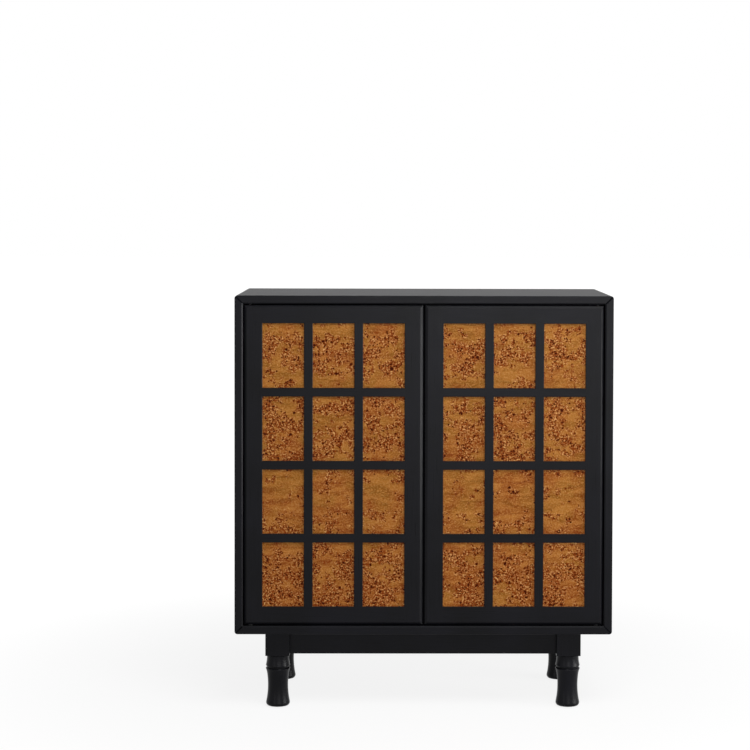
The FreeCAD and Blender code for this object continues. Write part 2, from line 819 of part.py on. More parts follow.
def latches():
    """Push latches under the top board; gives the holes for their screws."""
    blanks = {}
    places = []
    tip = door_back + size.strike_thickness + size.latch_gap
    magnet_back = tip + size.magnet_length
    face = magnet_back + size.plunger_reach
    rear = face + size.latch_length
    half = size.latch_half_width
    for side in (LEFT, RIGHT):
        word = SIDE_NAMES[side]
        across, up = latch_place(side)
        path = [
            (across - half, inner_top),
            (across - half, up),
            Bow(across, up - half),
            (across + half, up),
            (across + half, inner_top),
        ]
        shell = prism(f"latch_shell_{word}", "XZ_Plane", path, face, rear)
        edge = (across + half * side, across + (half + size.latch_wing) * side)
        wing = box(
            f"latch_wing_{word}", edge if side == RIGHT else edge[::-1], (face, rear),
            (inner_top - size.latch_wing_thickness, inner_top),
        )
        bore = rod(
            f"latch_bore_{word}", (across, face, up), BACKWARD, size.plunger_radius + size.plunger_clearance,
            size.latch_bore_depth,
        )
        blanks[word] = (join(f"latch_blank_{word}", [shell, wing]), bore)
        for deep in (face + size.latch_screw_setback, rear - size.latch_screw_setback):
            middle = across + (half + size.latch_wing / 2) * side
            places.append(((middle, deep, inner_top - size.latch_wing_thickness), UP))
        keep(
            rod(
                f"latch_plunger_{word}", (across, magnet_back, up), BACKWARD, size.plunger_radius,
                size.plunger_reach + size.plunger_bury,
            )
        )
        keep(rod(f"latch_magnet_{word}", (across, tip, up), BACKWARD, size.magnet_radius, size.magnet_length))
        spring(word, across, face + size.plunger_bury, face + size.latch_bore_depth, up)
    holes = screws("latch_screws", places, size.latch_screw_length)
    for word, (blank, bore) in blanks.items():
        keep(cut(f"latch_housing_{word}", blank, [bore] + holes))
    return holes


def spring(word, across, start, end, up):
    """The coil spring between the plunger and the end of its bore."""
    wire = size.spring_wire
    coil = doc.addObject("Part::Helix", f"spring_coil_{word}")
    coil.Placement.Rotation = FreeCAD.Rotation(UP, BACKWARD)
    length = end - start - wire
    bind(coil, {"Radius": size.spring_radius, "Height": length, "Pitch": length / SPRING_TURNS})
    put(coil, across, start + wire / 2, up)
    section = doc.addObject("Part::Circle", f"spring_section_{word}")
    bind(section, {"Radius": wire / 2})
    doc.recompute()
    first = coil.Shape.Vertexes[0].Point
    offset = first - FreeCAD.Vector(across.number, (start + wire / 2).number, up.number)
    tangent = coil.Shape.Edges[0].tangentAt(coil.Shape.Edges[0].FirstParameter)
    section.Placement.Rotation = FreeCAD.Rotation(UP, tangent)
    direction = offset * (1 / offset.Length)
    put(
        section,
        across + size.spring_radius * round(direction.x, 9),
        start + wire / 2,
        up + size.spring_radius * round(direction.z, 9),
    )
    sweep = doc.addObject("Part::Sweep", f"latch_spring_{word}")
    sweep.Sections = [section]
    sweep.Spine = (coil, ["Edge1"])
    sweep.Solid = True
    sweep.Frenet = True
    keep(sweep)


def span(side, first, last):
    """X from two distances off the hinge edge of a door."""
    if side == LEFT:
        return first - hinge_edge, last - hinge_edge
    return hinge_edge - last, hinge_edge - first


def tapered_block(label, across, tall, near_face, far_face, inset):
    """A block whose near face is smaller by the inset all round, or larger with a negative inset."""
    block = doc.addObject("Part::Wedge", label)
    bind(
        block,
        {
            "Xmin": across[0] + inset, "Xmax": across[1] - inset,
            "Zmin": tall[0] + inset, "Zmax": tall[1] - inset,
            "X2min": across[0], "X2max": across[1],
            "Z2min": tall[0], "Z2max": tall[1],
            "Ymin": near_face, "Ymax": far_face,
        },
    )
    return block


def windows(side):
    """The window openings of one door as (first, last, low, high)."""
    wide = (door_width - size.stile_width * 2 - size.bar_width * (WINDOW_COLUMNS - 1)) / WINDOW_COLUMNS
    high = (door_high - door_low - size.rail_width * 2 - size.bar_width * (WINDOW_ROWS - 1)) / WINDOW_ROWS
    for column in range(WINDOW_COLUMNS):
        first = size.stile_width + (wide + size.bar_width) * column
        for row in range(WINDOW_ROWS):
            low = door_low + size.rail_width + (high + size.bar_width) * row
            yield span(side, first, first + wide), (low, low + high)


def grille(name, side, reliefs):
    """Upright bars and cross bars, lapped into each other at half their thickness."""
    cells = list(windows(side))
    columns = cells[:: WINDOW_ROWS]
    rows = cells[:WINDOW_ROWS]
    if side == RIGHT:
        columns = columns[::-1]
    half = door_front + size.bar_thickness / 2
    face = door_front + size.bar_thickness
    opening_tall = (door_low + size.rail_width, door_high - size.rail_width)
    opening = span(side, size.stile_width, door_width - size.stile_width)
    uprights, bars, upright_laps, bar_laps = [], [], [], []
    for number, (left, right) in enumerate(zip(columns, columns[1:])):
        across = (left[0][1], right[0][0])
        uprights.append(box(f"{name}_upright_{number}", across, (door_front, face), opening_tall))
        bar_laps.append(box(f"{name}_bar_lap_{number}", across, (half, face), opening_tall))
    for number, (lower, upper) in enumerate(zip(rows, rows[1:])):
        tall = (lower[1][1], upper[1][0])
        bars.append(box(f"{name}_bar_{number}", opening, (door_front, face), tall))
        upright_laps.append(box(f"{name}_upright_lap_{number}", opening, (door_front, half), tall))
    uprights = group(f"{name}_upright_blanks", uprights)
    bars = group(f"{name}_bar_blanks", bars)
    keep(cut(f"{name}_uprights", cut(f"{name}_uprights_lapped", uprights, upright_laps), reliefs))
    keep(cut(f"{name}_cross_bars", cut(f"{name}_bars_lapped", bars, bar_laps), reliefs))


def door(side):
    """One door: a grooved and tenoned frame round a burl panel, with the grille on the panel's face."""
    name = f"door_{SIDE_NAMES[side]}"
    gap = size.glue_gap
    whole = span(side, as_size(0), door_width)
    tall = (door_low, door_high)
    bevel_end = door_front + size.bevel_depth
    slope = tapered_block(f"{name}_slope", whole, tall, door_front, bevel_end, size.bevel_width)
    slab = box(f"{name}_slab", whole, (bevel_end, door_back), tall)
    blank = join(f"{name}_blank", [slope, slab])
    reliefs = []
    arris_end = door_front + size.window_arris
    for number, window in enumerate(windows(side)):
        label = f"{name}_window_{number}"
        reliefs.append(tapered_block(label, *window, door_front, arris_end, -size.window_arris))
    groove_front = door_front + size.bar_thickness
    groove = (groove_front, groove_front + size.panel_thickness)
    inner_low = door_low + size.rail_width - size.groove_depth
    inner_high = door_high - size.rail_width + size.groove_depth
    inner_first = size.stile_width - size.groove_depth
    inner_last = door_width - size.stile_width + size.groove_depth
    cavity = box(f"{name}_groove", span(side, inner_first, inner_last), groove, (inner_low, inner_high))
    panel_across = span(side, inner_first + gap, inner_last - gap)
    keep(box(f"{name}_burl_panel", panel_across, groove, (inner_low + gap, inner_high - gap)))
    grille(name, side, reliefs)
    bush_holes = bushes(name, side)
    strike_holes = strike(name, side)
    mortises = rails(name, side, blank, groove, [cavity] + reliefs, strike_holes)
    stiles = {
        "hinge_stile": (as_size(0), size.stile_width, bush_holes),
        "meeting_stile": (door_width - size.stile_width, door_width, strike_holes),
    }
    for word, (first, last, holes) in stiles.items():
        stick = box(f"{name}_{word}_stick", span(side, first, last), (door_front, door_back), tall)
        shaped = common(f"{name}_{word}_shaped", stick, blank)
        keep(cut(f"{name}_{word}", shaped, [cavity] + reliefs + mortises + holes))


def rails(name, side, blank, groove, tools, strike_holes):
    """Top and bottom rails, the top one drilled for the strike screw; gives the mortises for the stiles."""
    gap = size.glue_gap
    first = size.stile_width
    last = door_width - size.stile_width
    mortises = []
    far = size.rail_width - size.groove_depth - size.tenon_web
    levels = {
        "bottom_rail": (door_low, door_low + size.rail_width, door_low + size.tenon_margin, door_low + far),
        "top_rail": (door_high - size.rail_width, door_high, door_high - far, door_high - size.tenon_margin),
    }
    for word, (low, high, tenon_low, tenon_high) in levels.items():
        label = f"{name}_{word}"
        stick = box(f"{label}_stick", span(side, first, last), (door_front, door_back), (low, high))
        shaped = cut(f"{label}_shaped", common(f"{label}_planed", stick, blank), tools)
        reach = size.tenon_length
        ends = span(side, first - reach, last + reach)
        tenon = box(f"{label}_tenons", ends, groove, (tenon_low, tenon_high))
        if word == "top_rail":
            keep(cut(label, join(f"{label}_tenoned", [shaped, tenon]), strike_holes))
        else:
            keep(join(label, [shaped, tenon]))
        slot = span(side, first - reach - gap, last + reach + gap)
        mortises.append(box(f"{label}_mortises", slot, groove, (tenon_low - gap, tenon_high + gap)))
    return mortises


def bushes(name, side):
    """Flanged bushes in the ends of the hinge stile; gives their holes."""
    across, deep = pivot_place(side)
    solids, holes = [], []
    for word, end, inward in (("bottom", door_low, UP), ("top", door_high, DOWN)):
        start = (across, deep, end)
        label = f"{name}_bush_{word}"
        for room, store in ((as_size(0), solids), (size.glue_gap, holes)):
            kind = f"{label}{'_hole' if room.number else ''}"
            sleeve = rod(f"{kind}_sleeve", start, inward, size.bush_radius + room, size.bush_length)
            flange = rod(f"{kind}_flange", start, inward, size.flange_radius + room, size.flange_thickness)
            store.append(join(kind, [sleeve, flange]))
        bore = rod(f"{label}_bore", start, inward, size.pivot_radius + size.pivot_clearance, size.bush_length)
        solids[-1] = cut(f"{label}_bored", solids[-1], [bore])
    keep(group(f"{name}_pivot_bushes", solids))
    return holes


def strike(name, side):
    """The strike plate behind the meeting stile with its screw; gives the screw's hole."""
    across, up = latch_place(side)
    place = ((across, door_back + size.strike_thickness, up), FORWARD)
    holes = screws(f"{name}_strike_screw", [place], size.strike_screw_length)
    plate = rod(
        f"{name}_strike_disc", (across, door_back, up), BACKWARD, size.strike_radius, size.strike_thickness
    )
    keep(cut(f"{name}_strike_plate", plate, holes))
    return holes


def case():
    """The mitred case with its inside and back, cut for everything that is let into it."""
    outside = case_outside()
    slots = splines()
    recess, back_holes = back_fixing()
    for side in (LEFT, RIGHT):
        shelf(side, "lower", size.lower_shelf)
        shelf(side, "upper", size.upper_shelf)
    peg_holes = shelf_pins()
    divider_slot = divider(peg_holes["divider"], back_holes)
    recesses, pivot_holes = case_pivots()
    shared = slots + [recess] + back_holes
    level_tools = shared + [divider_slot] + recesses + pivot_holes
    keep(cut("top_board", level_board("top_board", 1, outside), level_tools + latches()))
    keep(cut("bottom_board", level_board("bottom_board", -1, outside), level_tools + base()))
    for side in (LEFT, RIGHT):
        label = f"side_board_{SIDE_NAMES[side]}"
        keep(cut(label, upright_board(label, side, outside), shared + peg_holes[side]))


def write_parts():
    """Checks every object and writes each sub-part to its own file."""
    doc.recompute()
    for thing in doc.Objects:
        if "Invalid" in thing.State or "Error" in thing.State:
            raise RuntimeError(f"{thing.Label} failed: {thing.State}")
    for part in parts:
        if part.Shape.isNull() or not part.Shape.isValid() or not part.Shape.Solids:
            raise RuntimeError(f"{part.Label} has no valid shape")
    os.makedirs("parts", exist_ok=True)
    for part in parts:
        part.Shape.exportStep(f"parts/{part.Label}.step")
    print(f"{len(parts)} sub-parts")


case()
door(LEFT)
door(RIGHT)
write_parts()
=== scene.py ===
import math

import bmesh
import bpy
from mathutils import Matrix, Vector


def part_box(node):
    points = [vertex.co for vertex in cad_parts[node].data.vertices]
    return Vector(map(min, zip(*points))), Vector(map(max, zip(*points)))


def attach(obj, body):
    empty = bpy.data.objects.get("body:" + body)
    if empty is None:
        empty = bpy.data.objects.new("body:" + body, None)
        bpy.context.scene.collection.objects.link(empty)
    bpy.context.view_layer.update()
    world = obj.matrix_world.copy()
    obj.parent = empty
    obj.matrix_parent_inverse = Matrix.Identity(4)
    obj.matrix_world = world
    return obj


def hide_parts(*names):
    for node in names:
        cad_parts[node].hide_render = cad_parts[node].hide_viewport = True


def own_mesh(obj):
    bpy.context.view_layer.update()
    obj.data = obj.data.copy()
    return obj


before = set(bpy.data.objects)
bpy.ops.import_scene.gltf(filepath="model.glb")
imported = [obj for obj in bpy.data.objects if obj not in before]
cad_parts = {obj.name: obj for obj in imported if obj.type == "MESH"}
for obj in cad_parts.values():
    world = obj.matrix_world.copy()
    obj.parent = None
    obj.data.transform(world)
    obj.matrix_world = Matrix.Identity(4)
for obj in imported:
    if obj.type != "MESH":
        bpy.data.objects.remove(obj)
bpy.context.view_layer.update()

bl_info = {
    "name": "Side cabinet dressing",
    "version": (1, 0, 0),
    "blender": (4, 5, 0),
    "location": "View3D > Sidebar > Cabinet",
    "description": "Paints, veneers and fits out the packed side cabinet and sets its stage",
    "category": "Object",
}

MM = 0.001
PER_MM = (1000, 1000, 1000)
SIDES = ("left", "right")

# Painted members by the direction in which their grain runs
TOP = "top_board"
ALONG_X = ["bottom_board", "apron_front", "apron_back"]
ALONG_Y = ["apron_left", "apron_right"]
ALONG_Z = ["side_board_left", "side_board_right",
           "leg_front_left", "leg_front_right", "leg_back_left", "leg_back_right"]
INSIDE_X = ["shelf_left_lower", "shelf_left_upper", "shelf_right_lower", "shelf_right_upper"]
INSIDE_Z = ["centre_divider"]
for side in SIDES:
    ALONG_X += [f"door_{side}_{word}" for word in ("top_rail", "bottom_rail", "cross_bars")]
    ALONG_Z += [f"door_{side}_{word}" for word in ("hinge_stile", "meeting_stile", "uprights")]

# How strongly each finish mirrors the room. All are low, because the room is white all round and greys what
# is dark.
SATIN, MATT, LACQUER, BARE, MOULD = 0.09, 0.03, 0.03, 0.25, 0.12

# Sizes of the paint's and the wood's patterns, in millimetres
ORANGE_PEEL = 3  # ripple of the sprayed coat
PAINT_CLOUD = 120  # patches that are rubbed thinner
WORN_RIM = (0.8, 0.1)  # how far below the upper face of the top board its wear begins, and is full
GRAIN = (2.2, 110)  # width and length of a line of the grain
RAY = (1.2, 6)  # width and length of a ray fleck
MOULD_GRIT = 0.8

# The veneer's figure, sizes in millimetres
SWIRLS = ((24, 11), (5, 3.4))  # size of a swirl, and how far it pushes the figure
STREAK = (70, 17)  # length and height of a level streak
STREAK_STEPS = 9  # pale lines in the full range of the streaks
HUE_PATCH = 75
SPECKLE = 3.8
LARGE_EYE = (2.1, 1.6)  # spacing and radius of large eyes, in those of small ones
EYE_SIZES = (0.6, 1.4)  # smallest and largest eye, in common radii
EYE_TONES = (0.42, 1.1)  # how far the palest and the darkest eye come out
BAND_SWAY = 0.12  # how far the bands of eyes wander, as a share of the leaf's height
HUE_RISE = -0.18  # the ground gets yellower towards the top
CLOUD_REACH, CLUMP_REACH = 0.62, 0.45  # how much clouds and clumps change the number of eyes

# Heights above the floor in millimetres, and how thickly the eyes of the veneer leaf lie there
EYE_BANDS = [(250, 0.52), (290, 0.72), (365, 0.66), (400, 0.34), (440, 0.44), (472, 0.36), (495, 0.08),
             (550, 0.12), (585, 0.5), (625, 0.62), (735, 0.60), (770, 0.34), (800, 0.28), (830, 0.6),
             (885, 0.66), (908, 0.34), (930, 0.22)]

# Door panels, screws and springs
EASED_ARRIS = 0.4 * MM
FACING_FRONT = -0.5  # a face that points further to the front than this is veneered
SAME_POINT = 1e-6
SCREW_END = 0.1 * MM  # depth of the slice in which a screw's end is measured
HEAD_SIDES, SHANK_SIDES, WIRE_SIDES = 28, 16, 10
STEPS_PER_TURN = 24
CLOSED_TURN = 1.05  # rise of a closed end turn, in thicknesses of the wire

# Stage, in metres. The lamps at the front and sides stay lower than the top board, so that none glares on it.
LAMPS = {
    "key": {"place": (0.85, -5.2, 0.72), "aim": (0, -0.2, 0.72), "wide": 2.6, "high": 0.5},
    "side": {"place": (2.9, -0.9, 0.55), "aim": (0, -0.2, 0.55), "wide": 1.8, "high": 0.85},
    "fill": {"place": (-2.4, -3.4, 0.5), "aim": (0, -0.2, 0.5), "wide": 1.0, "high": 0.9},
    "top": {"place": (0.5, -1.7, 2.6), "aim": (0, -0.2, 0.7), "wide": 1.6, "high": 1.0},
}
FLOOR_REACH = 40
FLOOR_GLOW = 1.08  # a little over white, so that the floor is as white as the room behind it
SHADOW_NEAR, SHADOW_FAR = 0.4, 2.2  # distances from the middle where the shadow shows most, and not at all
SHADOW_GLOW = 0.8  # share of the glow that is left near the cabinet
SENSOR = 36  # width of the film, in millimetres


def linear(code):
    """A hex colour in sRGB as linear red, green, blue and full cover."""
    channels = [int(code[i:i + 2], 16) / 255 for i in (0, 2, 4)]
    return (*(c / 12.92 if c <= 0.04045 else ((c + 0.055) / 1.055) ** 2.4 for c in channels), 1.0)


def in_use(sockets, name=None):
    """The first socket, or the first of that name, that a node's settings leave in use."""
    return next(socket for socket in sockets if socket.enabled and name in (None, socket.name))


def add(tree, kind, inputs=None, **settings):
    """Adds a node, sets its attributes, and fills its sockets with values, sockets or results of nodes."""
    made = tree.nodes.new(kind)
    for name, value in settings.items():
        setattr(made, name, value)
    for key, value in (inputs or {}).items():
        target = made.inputs[key] if isinstance(key, int) else in_use(made.inputs, key)
        if isinstance(value, bpy.types.Node):
            value = in_use(value.outputs)
        if isinstance(value, bpy.types.NodeSocket):
            tree.links.new(value, target)
        else:
            target.default_value = value
    return made


def new_material(name, fixed):
    """A material with fixed values on its shader, its tree, that shader, and the place in millimetres."""
    made = bpy.data.materials.new(name)
    made.use_nodes = True
    tree = made.node_tree
    shader = tree.nodes["Principled BSDF"]
    for key, value in fixed.items():
        shader.inputs[key].default_value = value
    place = add(tree, "ShaderNodeTexCoord").outputs["Object"]
    place = add(tree, "ShaderNodeVectorMath", {0: place, 1: PER_MM}, operation="MULTIPLY")
    return made, tree, shader, place


def cover(tree, shader, colour, roughness, height, strength, depth):
    """Links a colour, a roughness and a bump of so many millimetres to a shader."""
    bump = add(tree, "ShaderNodeBump", {"Strength": strength, "Distance": depth * MM, "Height": height})
    for key, source in (("Base Color", colour), ("Roughness", roughness), ("Normal", bump)):
        tree.links.new(in_use(source.outputs), shader.inputs[key])


def finish(names, made):
    """Gives CAD nodes a material and leaves their shape as it is."""
    for name in names:
        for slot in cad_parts[name].material_slots:
            slot.material = made


def both(*words):
    """The names of a pair of nodes, left and right, for each pattern."""
    return [word.replace("*", side) for word in words for side in SIDES]


class CabinetPaint(bpy.types.PropertyGroup):
    """The black paint of the woodwork"""
    dark: bpy.props.FloatVectorProperty(
        name="Paint", description="Colour of the black paint", subtype="COLOR", size=4,
        default=linear("0A0A0C"))
    light: bpy.props.FloatVectorProperty(
        name="Paint, rubbed", description="Colour where the paint is thinner", subtype="COLOR", size=4,
        default=linear("121217"))
    roughness: bpy.props.FloatProperty(
        name="Roughness", description="Sheen of the sprayed paint", subtype="FACTOR",
        default=0.31, min=0, max=1)
    top_wear: bpy.props.FloatProperty(
        name="Wear on top", description="Roughness that use has added to the upper face of the top board",
        subtype="FACTOR", default=0.14, min=0, max=0.5)
    inside_roughness: bpy.props.FloatProperty(
        name="Roughness inside", description="Sheen of the thin coat on shelves and divider",
        subtype="FACTOR", default=0.66, min=0, max=1)
    grain_width: bpy.props.FloatProperty(
        name="Grain width", description="Spacing of the pores that show through", unit="LENGTH",
        default=1.6 * MM)
    grain_length: bpy.props.FloatProperty(
        name="Grain length", description="Length of those pores", unit="LENGTH", default=80 * MM)


class CabinetVeneer(bpy.types.PropertyGroup):
    """The burl veneer of the door panels"""
    pale: bpy.props.FloatVectorProperty(
        name="Pale figure", description="Lightest streaks of the ground", subtype="COLOR", size=4,
        default=linear("B67A38"))
    ochre: bpy.props.FloatVectorProperty(
        name="Ochre", description="Yellower ground of the veneer", subtype="COLOR", size=4,
        default=linear("805119"))
    russet: bpy.props.FloatVectorProperty(
        name="Russet", description="Redder ground of the veneer", subtype="COLOR", size=4,
        default=linear("78350C"))
    rust: bpy.props.FloatVectorProperty(
        name="Rust", description="Redder wood among the eyes", subtype="COLOR", size=4,
        default=linear("7A3209"))
    gold: bpy.props.FloatVectorProperty(
        name="Gold", description="Pale flecks among the eyes", subtype="COLOR", size=4,
        default=linear("D6A564"))
    eye: bpy.props.FloatVectorProperty(
        name="Eye", description="Heart of a burl eye", subtype="COLOR", size=4, default=linear("340E02"))
    eye_spacing: bpy.props.FloatProperty(
        name="Eye spacing", description="Distance between neighbouring eyes in a cluster", unit="LENGTH",
        default=4.6 * MM)
    eye_radius: bpy.props.FloatProperty(
        name="Eye radius", description="Radius of a common eye", unit="LENGTH", default=1.65 * MM)
    cluster: bpy.props.FloatProperty(
        name="Cluster size", description="Size of the clouds in which eyes gather", unit="LENGTH",
        default=42 * MM)
    clump: bpy.props.FloatProperty(
        name="Clump size", description="Size of the tight groups of eyes in a cloud", unit="LENGTH",
        default=13 * MM)


class CabinetFixings(bpy.types.PropertyGroup):
    """The screws and the latch springs"""
    head_height: bpy.props.FloatProperty(
        name="Head height", description="Countersunk part of a screw", unit="LENGTH", default=2 * MM)
    shank_radius: bpy.props.FloatProperty(
        name="Shank radius", description="Screw shank", unit="LENGTH", default=1.7 * MM)
    cross_width: bpy.props.FloatProperty(
        name="Cross width", description="Width of the cross recess", unit="LENGTH", default=0.9 * MM)
    cross_length: bpy.props.FloatProperty(
        name="Cross length", description="Length of the cross recess", unit="LENGTH", default=4.2 * MM)
    cross_depth: bpy.props.FloatProperty(
        name="Cross depth", description="Depth of the cross recess", unit="LENGTH", default=1.3 * MM)
    spring_wire: bpy.props.FloatProperty(
        name="Spring wire", description="Thickness of the wire of a latch spring", unit="LENGTH",
        default=0.8 * MM)
    spring_turns: bpy.props.FloatProperty(
        name="Spring turns", description="Turns of a latch spring, closed end turns included",
        default=8, min=4)


class CabinetStage(bpy.types.PropertyGroup):
    """The camera, the white room and the lamps"""
    camera_place: bpy.props.FloatVectorProperty(
        name="Camera", description="Where the camera stands", subtype="XYZ", unit="LENGTH",
        default=(-0.0737, -4.7501, 1.2058))
    tilt: bpy.props.FloatProperty(
        name="Tilt", description="Camera turned down", subtype="ANGLE", default=math.radians(1.823))
    turn: bpy.props.FloatProperty(
        name="Turn", description="Camera turned to the left", subtype="ANGLE", default=math.radians(-0.527))
    roll: bpy.props.FloatProperty(
        name="Roll", description="Camera turned about its axis", subtype="ANGLE", default=math.radians(0.152))
    lens: bpy.props.FloatProperty(
        name="Lens", description="Focal length", unit="CAMERA", default=92.27)
    shift: bpy.props.FloatVectorProperty(
        name="Shift", description="Lens shift across and up", size=2, default=(-0.0480, -0.1427))
    floor: bpy.props.FloatVectorProperty(
        name="Floor", description="Colour of the pale floor", subtype="COLOR", size=4,
        default=linear("DADADA"))
    background: bpy.props.FloatVectorProperty(
        name="Background", description="White that shows round the cabinet", subtype="COLOR", size=4,
        default=linear("FFFFFF"))
    room: bpy.props.FloatProperty(
        name="Room light", description="Even light of the white room", default=0.18)
    key: bpy.props.FloatProperty(
        name="Key lamp", description="Wide low softbox behind the camera, to the right", unit="POWER",
        default=36)
    side: bpy.props.FloatProperty(
        name="Side lamp", description="Wide low softbox at the right", unit="POWER", default=62)
    fill: bpy.props.FloatProperty(
        name="Fill lamp", description="Softbox in front at the left", unit="POWER", default=8)
    top: bpy.props.FloatProperty(
        name="Top lamp", description="Softbox overhead, before the cabinet", unit="POWER", default=50)


def black_paint(name, axis, paint, roughness, reflection, wear=0):
    # Black polyurethane, sprayed on planed hardwood, rubbed down satin outside and left matt inside:
    # near-black with a soft even sheen, duller where things stand on it, and the long pores of the wood
    # just showing through it along the member.
    made, tree, shader, place = new_material(name, {"Specular IOR Level": reflection})
    scale = [MM / paint.grain_width] * 3
    scale["XYZ".index(axis)] = MM / paint.grain_length
    along = add(tree, "ShaderNodeVectorMath", {0: place, 1: scale}, operation="MULTIPLY")
    pores = add(tree, "ShaderNodeTexNoise", {"Vector": along, "Scale": 1, "Detail": 4, "Roughness": 0.6})
    peel = add(tree, "ShaderNodeTexNoise", {"Vector": place, "Scale": 1 / ORANGE_PEEL, "Detail": 2})
    cloud = add(tree, "ShaderNodeTexNoise", {"Vector": place, "Scale": 1 / PAINT_CLOUD, "Detail": 3})
    pore_share = peel_share = 0.5
    mixed = add(tree, "ShaderNodeMath", {0: pores, 1: pore_share, 2: cloud}, operation="MULTIPLY_ADD")
    rubbed = add(tree, "ShaderNodeMapRange", {"Value": mixed, "From Min": 0.45, "From Max": 1.05})
    colour = add(tree, "ShaderNodeMix", {"Factor": rubbed, "A": paint.dark, "B": paint.light},
                 data_type="RGBA")
    sheen = add(tree, "ShaderNodeMapRange",
                {"Value": pores, "From Min": 0.3, "From Max": 0.7,
                 "To Min": roughness - 0.05, "To Max": roughness + 0.06})
    if wear:
        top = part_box(TOP)[1].z / MM
        begins, full = (top - depth for depth in WORN_RIM)
        level = add(tree, "ShaderNodeSeparateXYZ", {0: place}).outputs["Z"]
        dulled = add(tree, "ShaderNodeMapRange",
                     {"Value": level, "From Min": begins, "From Max": full, "To Max": wear})
        sheen = add(tree, "ShaderNodeMath", {0: sheen, 1: dulled}, operation="ADD")
    height = add(tree, "ShaderNodeMath", {0: peel, 1: peel_share, 2: pores}, operation="MULTIPLY_ADD")
    cover(tree, shader, colour, sheen, height, strength=0.12, depth=0.2)
    return made


def eyes(tree, place, spacing, radius, density):
    """Eyes in some cells of a scatter, in more where density is high: 1 in the heart, fading out round it."""
    cells = add(tree, "ShaderNodeTexVoronoi", {"Vector": place, "Scale": 1 / spacing, "Randomness": 1},
                voronoi_dimensions="2D", feature="F1")
    rank, size, tone = add(tree, "ShaderNodeSeparateColor", {0: cells.outputs["Color"]}).outputs
    chance = add(tree, "ShaderNodeMath", {0: density, 1: rank}, operation="SUBTRACT")
    shown = add(tree, "ShaderNodeMapRange", {"Value": chance, "From Min": 0, "From Max": 0.12})
    smallest, largest = (part * radius / spacing for part in EYE_SIZES)
    reach = add(tree, "ShaderNodeMapRange", {"Value": size, "To Min": smallest, "To Max": largest})
    share = add(tree, "ShaderNodeMath", {0: cells.outputs["Distance"], 1: reach}, operation="DIVIDE")
    heart = add(tree, "ShaderNodeMapRange",
                {"Value": share, "From Min": 0.3, "From Max": 1.7, "To Min": 1, "To Max": 0})
    depth = add(tree, "ShaderNodeMapRange", {"Value": tone, "To Min": EYE_TONES[0], "To Max": EYE_TONES[1]})
    shown = add(tree, "ShaderNodeMath", {0: shown, 1: depth}, operation="MULTIPLY")
    return add(tree, "ShaderNodeMath", {0: heart, 1: shown}, operation="MULTIPLY")


